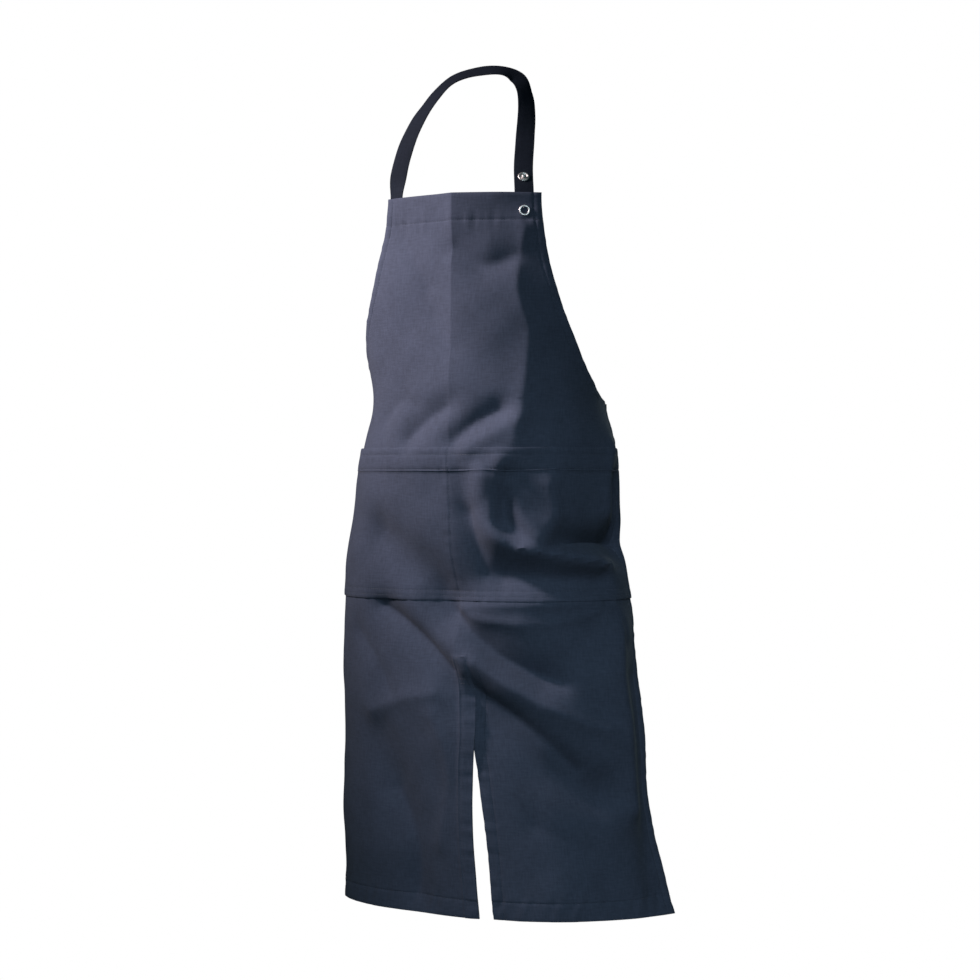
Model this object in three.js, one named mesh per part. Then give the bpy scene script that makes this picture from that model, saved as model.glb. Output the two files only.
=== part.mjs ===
// A bib apron with a split front, in heavy twill, in the shape it takes when it is worn.
// The body cloth hangs from a neck strap and wraps round the hips, where two ties hold it.
// Millimetres, +Z up. The apron faces -Y and the wearer's left side is at +X.
// The origin is on the inner face of the neck strap, where it rests on the nape of the neck.
import * as THREE from "three";
import { mergeVertices } from "three/addons/utils/BufferGeometryUtils.js";

// The cut of the body cloth
const APRON_LENGTH = 900;
const APRON_WIDTH = 550;
const BIB_TOP_WIDTH = 222;
const ARMHOLE_DROP = 254;
const ARMHOLE_ROUNDNESS = 1.85;
const SLIT_DROP = 608;
const SLIT_FROM_CREASE = 16;
const SLIT_SPREAD = 18;
const SLIT_LAP = 3;
const SLIT_SPREAD_RUN = 204;
const SLIT_LAP_RUN = 44;

// Cloth and hems
const CLOTH_THICKNESS = 1.2;
const HEM_TURNING = 0.9;
const HEM_STEP = 1.5;
const TOP_HEM = 37;
const SIDE_HEM = 13;
const SLIT_HEM = 18;
const BOTTOM_HEM = 25;
const SEAM_GAP = 0.3;

// The double pocket
const POCKET_DROP = 315;
const POCKET_HEIGHT = 190;
const POCKET_BAND = 29;
const POCKET_GAPE = 9;

// The neck strap and the waist ties
const STRAP_WIDTH = 24;
const STRAP_THICKNESS = 2;
const SEWN_STRAP_INSET = 4;
const SNAPPED_STRAP_INSET = 9;
const STRAP_TAIL = 36;
const SEWN_STRAP_CLEARANCE = 1.1;
const TIE_WIDTH = 22;
const TIE_THICKNESS = 1.6;
const TIE_BELOW_ARMHOLE = 14;
const TIE_LAP = 11;
const TIE_TAIL = 150;
const TIE_TAIL_SPREAD = 34;
const TIE_TAIL_BULGE = 6;
const KNOT_WIDTH = 26;
const KNOT_HEIGHT = 30;
const KNOT_DEPTH = 13;

// The press studs
const RING_RADIUS = 7;
const RING_HOLE_RADIUS = 4.4;
const RING_HEIGHT = 1.2;
const RING_ROUNDING = 0.4;
const BALL_RADIUS = 2.4;
const BALL_HEIGHT = 3;
const STUD_PLATE_HEIGHT = 0.6;
const SOCKET_RADIUS = 5.8;
const SOCKET_HEIGHT = 2.4;
const SNAP_PLAY = 0.6;
const STUD_DROP = 23;
const STUD_SPACING = 48;
const ROUND_STEPS = 24;

// The body that the apron goes round
const BODY_DEPTH = 130;
const NECK_DROP = 175;
const WAIST_BACK = 100;

// How fine the cloth's cells are
const CELL_DOWN = 22;
const ACROSS_CELLS = 12;
const ARMHOLE_CELLS = 12;
const FOLD_STEPS = 10;

const HALF_WIDTH = APRON_WIDTH / 2;
const HALF_BIB = BIB_TOP_WIDTH / 2;
const POCKET_END = POCKET_DROP + POCKET_HEIGHT;

// The cloth's level sections. The lengths are shares: down of the apron's length, front of
// the body's depth, and aside of half the cloth's width. The angles, in degrees, are how far the
// cloth has turned back at the crease, and at a third, at two thirds and at all of each half.
const SECTIONS = [
  { down: 0.0, front: 1.0, aside: 0.0, crease: 10, left: [36, 66, 100], right: [17, 60, 100] },
  { down: 0.15, front: 1.05, aside: 0.0, crease: 8, left: [36, 76, 108], right: [14, 56, 100] },
  { down: 0.28, front: 1.1, aside: 0.0, crease: 6, left: [35, 80, 112], right: [26, 62, 96] },
  { down: 0.36, front: 1.13, aside: 0.0, crease: 6, left: [30, 72, 104], right: [23, 52, 88] },
  { down: 0.56, front: 1.0, aside: 0.0, crease: 5, left: [26, 68, 100], right: [15, 37, 82] },
  { down: 0.75, front: 0.92, aside: 0.02, crease: 4, left: [26, 63, 86], right: [13, 33, 75] },
  { down: 0.87, front: 0.87, aside: 0.035, crease: 4, left: [26, 62, 86], right: [12, 29, 72] },
  { down: 1.0, front: 0.82, aside: 0.06, crease: 4, left: [22, 50, 68], right: [11, 26, 68] },
];

// The main folds. Each follows a path over the flat cloth and stands out of it, or dips into it
// where the height is less than nothing. A path's places are shares: across of half the width
// and down of the length. The width is a share of half the cloth's width, and the height is a
// share of the deepest fold.
const DEEPEST_FOLD = 13;
const FOLDS = [
  { path: [[0.02, 0.34], [0.24, 0.3]], width: 0.06, height: -0.3 },
  { path: [[0.1, 0.35], [0.32, 0.31]], width: 0.05, height: 0.3 },
  { path: [[-0.01, 0.29], [-0.12, 0.31], [-0.24, 0.34]], width: 0.07, height: -0.35 },
  { path: [[-0.41, 0.47], [-0.2, 0.52], [-0.01, 0.56]], width: 0.13, height: -0.5 },
  { path: [[0.17, 0.39], [0.16, 0.43], [0.24, 0.476], [0.7, 0.51]], width: 0.06, height: 0.7 },
  { path: [[0.27, 0.39], [0.25, 0.44], [0.3, 0.475]], width: 0.06, height: -0.5 },
  { path: [[0.46, 0.484], [0.7, 0.48], [0.97, 0.484]], width: 0.08, height: -1 },
  { path: [[0.42, 0.52], [0.7, 0.517]], width: 0.07, height: -0.45 },
  { path: [[-0.09, 0.56], [0.07, 0.6], [0.3, 0.64], [0.47, 0.645]], width: 0.1, height: -0.8 },
  { path: [[-0.4, 0.57], [-0.14, 0.636], [-0.04, 0.667]], width: 0.07, height: -0.45 },
  { path: [[0.03, 0.613], [0.1, 0.64], [0.33, 0.693], [0.59, 0.778]], width: 0.12, height: 0.6 },
  { path: [[0.08, 0.7], [0.26, 0.756], [0.39, 0.796], [0.62, 0.827]], width: 0.1, height: -0.8 },
  { path: [[0.8, 0.61], [0.72, 0.667], [0.76, 0.75], [0.76, 0.84]], width: 0.11, height: 0.6 },
  { path: [[0.93, 0.68], [0.93, 0.84], [0.9, 0.97]], width: 0.08, height: -0.5 },
  { path: [[-0.5, 0.76], [-0.34, 0.84]], width: 0.12, height: -0.5 },
  { path: [[-0.1, 0.836], [-0.25, 0.95]], width: 0.12, height: -0.4 },
];

// Where the neck strap lies between the bib's corners and the nape. The places are shares of the
// way from the nape to the strap's end on the bib. The outer face looks aside by the turn and up
// by the tip, both in degrees.
const STRAP_STATIONS = [
  { half: "right", aside: 0.95, ahead: 0.94, drop: 0.8, turn: -26, tip: 4 },
  { half: "right", aside: 0.83, ahead: 0.87, drop: 0.56, turn: -30, tip: 12 },
  { half: "right", aside: 0.71, ahead: 0.7, drop: 0.32, turn: -40, tip: 30 },
  { half: "right", aside: 0.45, ahead: 0.27, drop: 0.06, turn: -40, tip: 62 },
  { half: "right", aside: 0.0, ahead: 0.0, drop: 0.0, turn: 0, tip: 84 },
  { half: "left", aside: 0.24, ahead: -0.1, drop: 0.05, turn: 60, tip: 78 },
  { half: "left", aside: 0.43, ahead: -0.02, drop: 0.16, turn: 80, tip: 56 },
  { half: "left", aside: 0.56, ahead: 0.16, drop: 0.32, turn: 46, tip: 16 },
  { half: "left", aside: 0.72, ahead: 0.52, drop: 0.58, turn: 34, tip: 4 },
  { half: "left", aside: 0.88, ahead: 0.82, drop: 0.82, turn: 32, tip: 2 },
];

// Where each tie goes between the cloth's edge and the knot. The places are shares: aside of
// the edge's distance from the middle, and back of the way from the edge to the knot.
const TIE_STATIONS = [
  { aside: 0.96, back: 0.3 },
  { aside: 0.76, back: 0.7 },
  { aside: 0.44, back: 0.94 },
];

const smooth = (x) => {
  const s = Math.min(Math.max(x, 0), 1);
  return s * s * (3 - 2 * s);
};

// A curve through a table's values, with the mean slope at each of them
function curveThrough(places, values) {
  const last = places.length - 1;
  const slopes = places.map((_, i) => {
    const a = Math.max(i - 1, 0);
    const b = Math.min(i + 1, last);
    return (values[b] - values[a]) / (places[b] - places[a]);
  });
  return (at) => {
    const x = Math.min(Math.max(at, places[0]), places[last]);
    let i = 0;
    while (i < last - 1 && x > places[i + 1]) i++;
    const step = places[i + 1] - places[i];
    const s = (x - places[i]) / step;
    const rise = s * s * (3 - 2 * s);
    return (
      values[i] * (1 - rise) +
      values[i + 1] * rise +
      step * s * (1 - s) * (slopes[i] * (1 - s) - slopes[i + 1] * s)
    );
  };
}

const columnOf = (read) => curveThrough(SECTIONS.map((row) => row.down), SECTIONS.map(read));
const frontAt = columnOf((row) => row.front);
const asideAt = columnOf((row) => row.aside);
const creaseAt = columnOf((row) => row.crease);
const turnsAt = {
  right: [0, 1, 2].map((k) => columnOf((row) => row.right[k])),
  left: [0, 1, 2].map((k) => columnOf((row) => row.left[k])),
};
const TURN_PLACES = [0, 1 / 3, 2 / 3, 1];
const WALK_STEPS = 60;

// One half of a level section: a walk away from the crease that turns back as the table says
function halfSection(share, half) {
  const turn = curveThrough(TURN_PLACES, [creaseAt(share), ...turnsAt[half].map((f) => f(share))]);
  const step = HALF_WIDTH / WALK_STEPS;
  const xs = [0];
  const ys = [0];
  for (let i = 0; i < WALK_STEPS; i++) {
    const heading = THREE.MathUtils.degToRad(turn((i + 0.5) / WALK_STEPS));
    xs.push(xs[i] + step * Math.cos(heading));
    ys.push(ys[i] + step * Math.sin(heading));
  }
  return { turn, step, xs, ys };
}

const sectionStore = new Map();
function sectionAt(down) {
  const share = down / APRON_LENGTH;
  if (!sectionStore.has(share)) {
    sectionStore.set(share, { right: halfSection(share, "right"), left: halfSection(share, "left") });
  }
  return sectionStore.get(share);
}

// How wide half of the cut cloth is: it widens along the armhole's curve
function halfWidthAt(down) {
  const share = Math.min(Math.max(down / ARMHOLE_DROP, 0), 1);
  const rest = (1 - share ** ARMHOLE_ROUNDNESS) ** (1 / ARMHOLE_ROUNDNESS);
  return HALF_WIDTH - (HALF_WIDTH - HALF_BIB) * rest;
}

// Each fold's path as short straight runs on the flat cloth, in millimetres
const FOLD_RUNS = FOLDS.map((fold) => {
  const points = fold.path.map(
    ([across, down]) => new THREE.Vector2(across * HALF_WIDTH, down * APRON_LENGTH),
  );
  const runs = new THREE.SplineCurve(points).getPoints(FOLD_STEPS);
  return { runs, width: fold.width * HALF_WIDTH, height: fold.height * DEEPEST_FOLD };
});

// How far the folds lift a place on the cloth: fully on a path, and less away from it
function foldLift(across, down) {
  const place = new THREE.Vector2(across, down);
  let lift = 0;
  for (const { runs, width, height } of FOLD_RUNS) {
    let nearest = Infinity;
    for (let i = 1; i < runs.length; i++) {
      const run = runs[i].clone().sub(runs[i - 1]);
      const away = place.clone().sub(runs[i - 1]);
      const along = THREE.MathUtils.clamp(away.dot(run) / run.lengthSq(), 0, 1);
      nearest = Math.min(nearest, away.addScaledVector(run, -along).length());
    }
    lift += height * Math.exp(-((nearest / width) ** 2));
  }
  return lift;
}

const CREASE_BLEND = 40;

// Where a place of the flat cloth lies. Below the slit's top the two sides are apart.
function clothPoint(across, down, side) {
  const share = down / APRON_LENGTH;
  const half = across < 0 ? "right" : "left";
  const sign = across < 0 ? -1 : 1;
  const section = sectionAt(down)[half];
  const walked = Math.min(Math.abs(across) / section.step, WALK_STEPS);
  const i = Math.min(Math.floor(walked), WALK_STEPS - 1);
  const rest = walked - i;
  const x = section.xs[i] + rest * (section.xs[i + 1] - section.xs[i]);
  const y = section.ys[i] + rest * (section.ys[i + 1] - section.ys[i]);
  const away = Math.abs(across);
  const heading = THREE.MathUtils.degToRad(section.turn(away / HALF_WIDTH) * smooth(away / CREASE_BLEND));
  const nearSlit = 1 - smooth(Math.abs(across - SLIT_FROM_CREASE) / HALF_WIDTH);
  const apart = SLIT_SPREAD * smooth((down - SLIT_DROP) / SLIT_SPREAD_RUN) * nearSlit;
  const under = side > 0 ? SLIT_LAP * smooth((down - SLIT_DROP) / SLIT_LAP_RUN) * nearSlit : 0;
  const lift = foldLift(across, down);
  return new THREE.Vector3(
    asideAt(share) * HALF_WIDTH + sign * (x + lift * Math.sin(heading)) + (side * apart) / 2,
    -frontAt(share) * BODY_DEPTH + y - lift * Math.cos(heading) + under,
    -NECK_DROP - down,
  );
}

const PROBE = 1;
function clothNormal(across, down, side) {
  const acrossRun = clothPoint(across + PROBE, down, side).sub(clothPoint(across - PROBE, down, side));
  const downRun = clothPoint(across, down + PROBE, side).sub(clothPoint(across, down - PROBE, side));
  return downRun.cross(acrossRun).normalize();
}

// A place on the cloth, moved out of its front face
function offCloth(across, down, side, out) {
  return clothPoint(across, down, side).addScaledVector(clothNormal(across, down, side), out);
}

// Closes a sheet of four-cornered cells into a wall, with a rim along its open edges
function wallGeometry(front, back, cells) {
  const count = front.length;
  const triangles = [];
  const edges = new Map();
  for (const [a, b, c, d] of cells) {
    triangles.push(a, b, c, a, c, d);
    triangles.push(count + a, count + c, count + b, count + a, count + d, count + c);
    for (const [p, q] of [[a, b], [b, c], [c, d], [d, a]]) {
      if (edges.has(`${q} ${p}`)) edges.delete(`${q} ${p}`);
      else edges.set(`${p} ${q}`, [p, q]);
    }
  }
  for (const [p, q] of edges.values()) {
    triangles.push(q, p, count + p, q, count + p, count + q);
  }
  const geometry = new THREE.BufferGeometry().setFromPoints([...front, ...back]);
  geometry.setIndex(triangles);
  return mergeVertices(geometry);
}

// Even steps from one place to the next, without the last place
function steps(from, to, count) {
  return Array.from({ length: count }, (_, i) => from + ((to - from) * i) / count);
}

const rowSteps = (from, to) => steps(from, to, Math.max(1, Math.round((to - from) / CELL_DOWN)));

// Rows along the armhole's curve, closer together where the curve runs sideways
const armholeRows = steps(Math.asin(TOP_HEM / ARMHOLE_DROP), Math.PI / 2, ARMHOLE_CELLS).map(
  (angle) => ARMHOLE_DROP * Math.sin(angle),
);
const ROWS = [
  ...rowSteps(0, TOP_HEM - HEM_STEP),
  TOP_HEM - HEM_STEP,
  ...armholeRows,
  ...rowSteps(ARMHOLE_DROP, POCKET_DROP),
  ...rowSteps(POCKET_DROP, POCKET_DROP + POCKET_BAND - HEM_STEP),
  POCKET_DROP + POCKET_BAND - HEM_STEP,
  ...rowSteps(POCKET_DROP + POCKET_BAND, POCKET_END),
  ...rowSteps(POCKET_END, SLIT_DROP),
  ...rowSteps(SLIT_DROP, APRON_LENGTH - BOTTOM_HEM),
  APRON_LENGTH - BOTTOM_HEM,
  APRON_LENGTH - BOTTOM_HEM + HEM_STEP,
  APRON_LENGTH,
];

// The columns of one row, from the wearer's right edge to the left one
function columnsAt(down) {
  const half = halfWidthAt(down);
  const sideInner = half - SIDE_HEM;
  const rightInner = SLIT_FROM_CREASE - SLIT_HEM;
  const leftInner = SLIT_FROM_CREASE + SLIT_HEM;
  return [
    -half,
    -sideInner - HEM_STEP,
    ...steps(-sideInner, rightInner, ACROSS_CELLS),
    rightInner,
    rightInner + HEM_STEP,
    0,
    SLIT_FROM_CREASE,
    leftInner - HEM_STEP,
    ...steps(leftInner, sideInner, ACROSS_CELLS),
    sideInner,
    sideInner + HEM_STEP,
    half,
  ];
}
const COLUMN_COUNT = columnsAt(0).length;
const SLIT_COLUMN = COLUMN_COUNT - ACROSS_CELLS - 5;

// The hems are turned to the inside, so the wall is thicker there
function hemmed(across, down) {
  const half = halfWidthAt(down);
  const inSide = half - Math.abs(across) < SIDE_HEM - HEM_STEP / 2;
  const inTop = down < TOP_HEM - HEM_STEP / 2;
  const inBottom = down > APRON_LENGTH - BOTTOM_HEM + HEM_STEP / 2;
  const slitDistance = Math.abs(across - SLIT_FROM_CREASE);
  const inSlit = down > SLIT_DROP - SLIT_HEM && slitDistance < SLIT_HEM - HEM_STEP / 2;
  return inSide || inTop || inBottom || inSlit;
}

function bodyGeometry() {
  const front = [];
  const back = [];
  const cells = [];
  const addPoint = (across, down, side) => {
    const thickness = CLOTH_THICKNESS + (hemmed(across, down) ? HEM_TURNING : 0);
    front.push(clothPoint(across, down, side));
    back.push(offCloth(across, down, side, -thickness));
    return front.length - 1;
  };
  let above = null;
  for (const down of ROWS) {
    const columns = columnsAt(down);
    const split = down > SLIT_DROP;
    const right = columns.slice(0, SLIT_COLUMN + 1).map((across) => addPoint(across, down, -1));
    const left = columns
      .slice(SLIT_COLUMN)
      .map((across, j) => (j === 0 && !split ? right[SLIT_COLUMN] : addPoint(across, down, 1)));
    if (above) {
      for (const [upper, lower] of [[above.right, right], [above.left, left]]) {
        for (let j = 0; j + 1 < upper.length; j++) {
          cells.push([upper[j], lower[j], lower[j + 1], upper[j + 1]]);
        }
      }
    }
    above = { right, left };
  }
  return wallGeometry(front, back, cells);
}

// How far the pocket stands off the body: most at the middle of each half of its mouth
function pocketStandOff(across, down) {
  const inner = halfWidthAt(down) - SIDE_HEM;
  const share = Math.min(Math.abs(across) / inner, 1);
  const depth = (down - POCKET_DROP) / POCKET_HEIGHT;
  const fullness = Math.sin(Math.PI * Math.sqrt(share)) * (1 - smooth(depth) ** 2);
  return SEAM_GAP + POCKET_GAPE * Math.max(fullness, 0);
}

function pocketGeometry() {
  const front = [];
  const back = [];
  const cells = [];
  const rows = ROWS.filter((down) => down >= POCKET_DROP && down <= POCKET_END);
  rows.forEach((down, i) => {
    const bandEnd = POCKET_DROP + POCKET_BAND - HEM_STEP / 2;
    const thickness = CLOTH_THICKNESS + (down < bandEnd ? HEM_TURNING : 0);
    columnsAt(down).forEach((across, j) => {
      const side = j < SLIT_COLUMN ? -1 : 1;
      const standOff = pocketStandOff(across, down);
      back.push(offCloth(across, down, side, standOff));
      front.push(offCloth(across, down, side, standOff + thickness));
      if (i > 0 && j > 0) {
        const at = i * COLUMN_COUNT + j;
        cells.push([at - COLUMN_COUNT - 1, at - 1, at, at - COLUMN_COUNT]);
      }
    });
  });
  return wallGeometry(front, back, cells);
}

// A flat band's course through stations, each with its middle and the way its outer face looks
function bandCourse(stations) {
  const path = new THREE.CatmullRomCurve3(stations.map((station) => station.at));
  const faces = new THREE.CatmullRomCurve3(stations.map((station) => station.face));
  const length = path.getLength();
  const frameAt = (distance) => {
    const share = path.getUtoTmapping(0, Math.min(distance, length));
    const tangent = path.getTangent(share);
    const face = faces.getPoint(share);
    face.addScaledVector(tangent, -face.dot(tangent)).normalize();
    return { middle: path.getPoint(share), face, across: face.clone().cross(tangent) };
  };
  return { length, frameAt };
}

function bandGeometry({ length, frameAt }, width, thickness) {
  const count = Math.round(length / (width / 2));
  const corners = { outer: [], inner: [] };
  const cells = [];
  for (let i = 0; i <= count; i++) {
    const { middle, face, across } = frameAt((length * i) / count);
    for (const edge of [-width / 2, width / 2]) {
      const place = middle.clone().addScaledVector(across, edge);
      corners.outer.push(place.clone().addScaledVector(face, thickness / 2));
      corners.inner.push(place.clone().addScaledVector(face, -thickness / 2));
    }
    if (i > 0) cells.push([2 * i - 2, 2 * i, 2 * i + 1, 2 * i - 1]);
  }
  return wallGeometry(corners.outer, corners.inner, cells);
}

// A band's station on the inside of the cloth
function insideStation(across, down, clearance, thickness) {
  const side = Math.sign(across);
  const depth = CLOTH_THICKNESS + HEM_TURNING + clearance + thickness / 2;
  return { at: offCloth(across, down, side, -depth), face: clothNormal(across, down, side) };
}

function faceTowards(turn, tip) {
  const aside = THREE.MathUtils.degToRad(turn);
  const up = THREE.MathUtils.degToRad(tip);
  return new THREE.Vector3(Math.sin(aside) * Math.cos(up), -Math.cos(aside) * Math.cos(up), Math.sin(up));
}

// The strap is sewn to the bib's right corner and snapped to its left one, over the socket
const SEWN_ACROSS = HALF_BIB - SEWN_STRAP_INSET - STRAP_WIDTH / 2;
const SNAPPED_ACROSS = HALF_BIB - SNAPPED_STRAP_INSET - STRAP_WIDTH / 2;
const SNAPPED_STRAP_CLEARANCE = SOCKET_HEIGHT + 2 * SNAP_PLAY;
const strapOnBib = {
  right: (down) => insideStation(-SEWN_ACROSS, down, SEWN_STRAP_CLEARANCE, STRAP_THICKNESS),
  left: (down) => insideStation(SNAPPED_ACROSS, down, SNAPPED_STRAP_CLEARANCE, STRAP_THICKNESS),
};

function strapCourse() {
  const free = STRAP_STATIONS.map(({ half, aside, ahead, drop, turn, tip }) => {
    const end = strapOnBib[half](0).at;
    const at = new THREE.Vector3(aside * end.x, ahead * end.y, STRAP_THICKNESS / 2 + drop * end.z);
    return { at, face: faceTowards(turn, tip) };
  });
  const tail = [0, STRAP_TAIL / 2, STRAP_TAIL];
  return bandCourse([
    ...tail.map(strapOnBib.right).reverse(),
    ...free,
    ...tail.map(strapOnBib.left),
  ]);
}

// The ties are sewn inside the cloth's side edges just below the armholes
const TIE_DROP = ARMHOLE_DROP + TIE_BELOW_ARMHOLE;
const knotPlace = new THREE.Vector3(0, WAIST_BACK, -NECK_DROP - TIE_DROP);

function tieCourse(sign) {
  const onCloth = [HALF_WIDTH - TIE_LAP, HALF_WIDTH].map((across) =>
    insideStation(sign * across, TIE_DROP, SEAM_GAP, TIE_THICKNESS),
  );
  const edge = onCloth[1].at;
  const ways = [...TIE_STATIONS, { aside: 0, back: 1 }].map(({ aside, back }) => {
    const at = edge.clone().lerp(knotPlace, back).setX(aside * edge.x);
    return { at, face: new THREE.Vector3(at.x, at.y, 0).normalize() };
  });
  ways.at(-1).at.x = sign * (KNOT_WIDTH / 2 + SEAM_GAP);
  return bandCourse([...onCloth, ...ways]);
}

// The tails hang from under the knot, one in front of the other, and spread a little
function tailCourse(sign) {
  const apart = sign * (TIE_THICKNESS / 2 + SEAM_GAP);
  const out = new THREE.Vector3((sign * KNOT_WIDTH) / 4, apart, -KNOT_HEIGHT / 2 - SEAM_GAP);
  out.z += (KNOT_WIDTH / 4) * (TIE_TAIL_SPREAD / TIE_TAIL);
  const top = knotPlace.clone().add(out);
  const end = top.clone().add(new THREE.Vector3(sign * TIE_TAIL_SPREAD, 0, -TIE_TAIL));
  const middle = top.clone().lerp(end, 0.5).add(new THREE.Vector3(0, TIE_TAIL_BULGE, 0));
  const face = new THREE.Vector3(0, 1, 0);
  return bandCourse([top, middle, end].map((at) => ({ at, face })));
}

// Round pieces are turned about +Z and then set with that axis along the cloth's face
const turned = (profile) =>
  new THREE.LatheGeometry(
    profile.map(([radius, height]) => new THREE.Vector2(radius, height)),
    ROUND_STEPS,
  ).rotateX(Math.PI / 2);

const ringGeometry = () =>
  turned([
    [RING_HOLE_RADIUS, 0],
    [RING_RADIUS, 0],
    [RING_RADIUS, RING_HEIGHT - RING_ROUNDING],
    [RING_RADIUS - RING_ROUNDING, RING_HEIGHT],
    [RING_HOLE_RADIUS + RING_ROUNDING, RING_HEIGHT],
    [RING_HOLE_RADIUS, RING_HEIGHT - RING_ROUNDING],
    [RING_HOLE_RADIUS, 0],
  ]);

const studGeometry = () =>
  turned([
    [0, 0],
    [RING_RADIUS, 0],
    [RING_RADIUS, RING_HEIGHT - RING_ROUNDING],
    [RING_RADIUS - RING_ROUNDING, RING_HEIGHT],
    [RING_HOLE_RADIUS + RING_ROUNDING, RING_HEIGHT],
    [RING_HOLE_RADIUS, STUD_PLATE_HEIGHT],
    [BALL_RADIUS, STUD_PLATE_HEIGHT],
    [BALL_RADIUS, BALL_HEIGHT - BALL_RADIUS / 2],
    [BALL_RADIUS / 2, BALL_HEIGHT],
    [0, BALL_HEIGHT],
  ]);

function finish(color, roughness, metalness) {
  return new THREE.MeshStandardMaterial({ color, roughness, metalness });
}
const twill = finish(0x2c3144, 0.85, 0);
const webbing = finish(0x1d2330, 0.8, 0);
const metal = finish(0xc9ccd2, 0.3, 1);

const apron = new THREE.Group();
function add(name, geometry, material) {
  const mesh = new THREE.Mesh(geometry, material);
  mesh.name = name;
  apron.add(mesh);
  return mesh;
}

add("apron_body", bodyGeometry(), twill);
add("front_pocket", pocketGeometry(), twill);
const strap = strapCourse();
add("neck_strap", bandGeometry(strap, STRAP_WIDTH, STRAP_THICKNESS), webbing);
for (const [side, sign] of [["right", -1], ["left", 1]]) {
  add(`waist_tie_${side}`, bandGeometry(tieCourse(sign), TIE_WIDTH, TIE_THICKNESS), webbing);
  add(`tie_tail_${side}`, bandGeometry(tailCourse(sign), TIE_WIDTH, TIE_THICKNESS), webbing);
}

const knot = new THREE.SphereGeometry(0.5, ROUND_STEPS / 2, ROUND_STEPS / 3);
knot.scale(KNOT_WIDTH, KNOT_DEPTH, KNOT_HEIGHT);
add("tie_knot", knot, webbing).position.copy(knotPlace);

// Sets a round piece on a place with its top along a direction
function seat(name, geometry, place, direction, lift) {
  const piece = add(name, geometry, metal);
  piece.position.copy(place).addScaledVector(direction, lift);
  piece.quaternion.setFromUnitVectors(new THREE.Vector3(0, 0, 1), direction);
}

const bibPlace = clothPoint(SNAPPED_ACROSS, STUD_DROP, 1);
const bibFace = clothNormal(SNAPPED_ACROSS, STUD_DROP, 1);
const bibInside = CLOTH_THICKNESS + HEM_TURNING + SNAP_PLAY;
const strapFace = STRAP_THICKNESS / 2 + SEAM_GAP;
seat("bib_stud_ring", ringGeometry(), bibPlace, bibFace, SEAM_GAP);
const socket = turned([[0, 0], [SOCKET_RADIUS, 0], [SOCKET_RADIUS, SOCKET_HEIGHT], [0, SOCKET_HEIGHT]]);
seat("bib_stud_socket", socket, bibPlace, bibFace, -bibInside - SOCKET_HEIGHT);

// The studs on the strap, measured from its snapped end
for (const [name, fromEnd] of [
  ["lower", STRAP_TAIL - STUD_DROP],
  ["upper", STRAP_TAIL - STUD_DROP + STUD_SPACING],
]) {
  const { middle, face } = strap.frameAt(strap.length - fromEnd);
  seat(`strap_${name}_ring`, ringGeometry(), middle, face.clone().negate(), strapFace);
  if (name === "upper") seat("strap_upper_stud", studGeometry(), middle, face, strapFace);
}

export default apron;
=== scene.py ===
import math
import bpy
import numpy as np
from mathutils import Matrix, Vector


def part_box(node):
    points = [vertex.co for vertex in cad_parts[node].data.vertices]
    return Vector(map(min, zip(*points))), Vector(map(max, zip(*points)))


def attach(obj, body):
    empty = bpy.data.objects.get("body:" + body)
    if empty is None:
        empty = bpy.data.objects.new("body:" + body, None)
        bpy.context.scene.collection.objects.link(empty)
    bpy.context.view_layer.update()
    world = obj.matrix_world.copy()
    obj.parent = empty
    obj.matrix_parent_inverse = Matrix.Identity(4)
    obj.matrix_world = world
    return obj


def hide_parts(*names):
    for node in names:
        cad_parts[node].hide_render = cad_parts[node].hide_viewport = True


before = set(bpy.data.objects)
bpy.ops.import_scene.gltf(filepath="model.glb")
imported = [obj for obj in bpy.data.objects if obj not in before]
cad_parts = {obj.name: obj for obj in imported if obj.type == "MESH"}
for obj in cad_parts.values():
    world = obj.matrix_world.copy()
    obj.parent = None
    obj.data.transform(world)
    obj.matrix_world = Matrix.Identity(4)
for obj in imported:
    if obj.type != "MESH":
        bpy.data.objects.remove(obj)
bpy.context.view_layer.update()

# The view and the light. The apron hangs in the air as it does when it is worn, over a plain
# pale floor, and the camera looks at it level from a little to the wearer's left. The key light
# falls on the bib from the wearer's right, a soft one on the skirt from the left, one from behind.
CAMERA_TURN = math.radians(27)
CAMERA_DISTANCE = 3.15
CAMERA_HEIGHT = -0.535
CAMERA_ASIDE = -0.0128
PICTURE_SIZE = 980
METRES_PER_PIXEL = 0.001283
HORIZON_ABOVE_MIDDLE = 6
FLOOR_BELOW_HEM = 0.38
FLOOR_RADIUS = 1.1

bpy.ops.object.camera_add()
camera = bpy.context.object
to_right = Vector((math.cos(CAMERA_TURN), math.sin(CAMERA_TURN), 0))
ahead = Vector((-math.sin(CAMERA_TURN), math.cos(CAMERA_TURN), 0))
camera.location = to_right * CAMERA_ASIDE - ahead * CAMERA_DISTANCE + Vector((0, 0, CAMERA_HEIGHT))
camera.rotation_euler = (math.pi / 2, 0, CAMERA_TURN)
camera.data.sensor_width = 36
camera.data.lens = 36 * CAMERA_DISTANCE / (PICTURE_SIZE * METRES_PER_PIXEL)
camera.data.shift_y = -HORIZON_ABOVE_MIDDLE / PICTURE_SIZE
bpy.context.scene.camera = camera
bpy.context.scene.view_settings.view_transform = "Standard"


def area_light(name, aim, turn, rise, distance, size, power, colour, beam=180):
    """A square light that faces a place, from a turn round it and a rise above it, in degrees."""
    turn, rise = math.radians(turn), math.radians(rise)
    level = math.cos(rise)
    way = Vector((math.sin(turn) * level, -math.cos(turn) * level, math.sin(rise)))
    bpy.ops.object.light_add(type="AREA", location=Vector(aim) + way * distance)
    light = bpy.context.object
    light.name = name
    light.rotation_euler = (-way).to_track_quat("-Z", "Y").to_euler()
    light.data.size = size
    light.data.energy = power
    light.data.color = colour
    light.data.spread = math.radians(beam)


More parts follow.
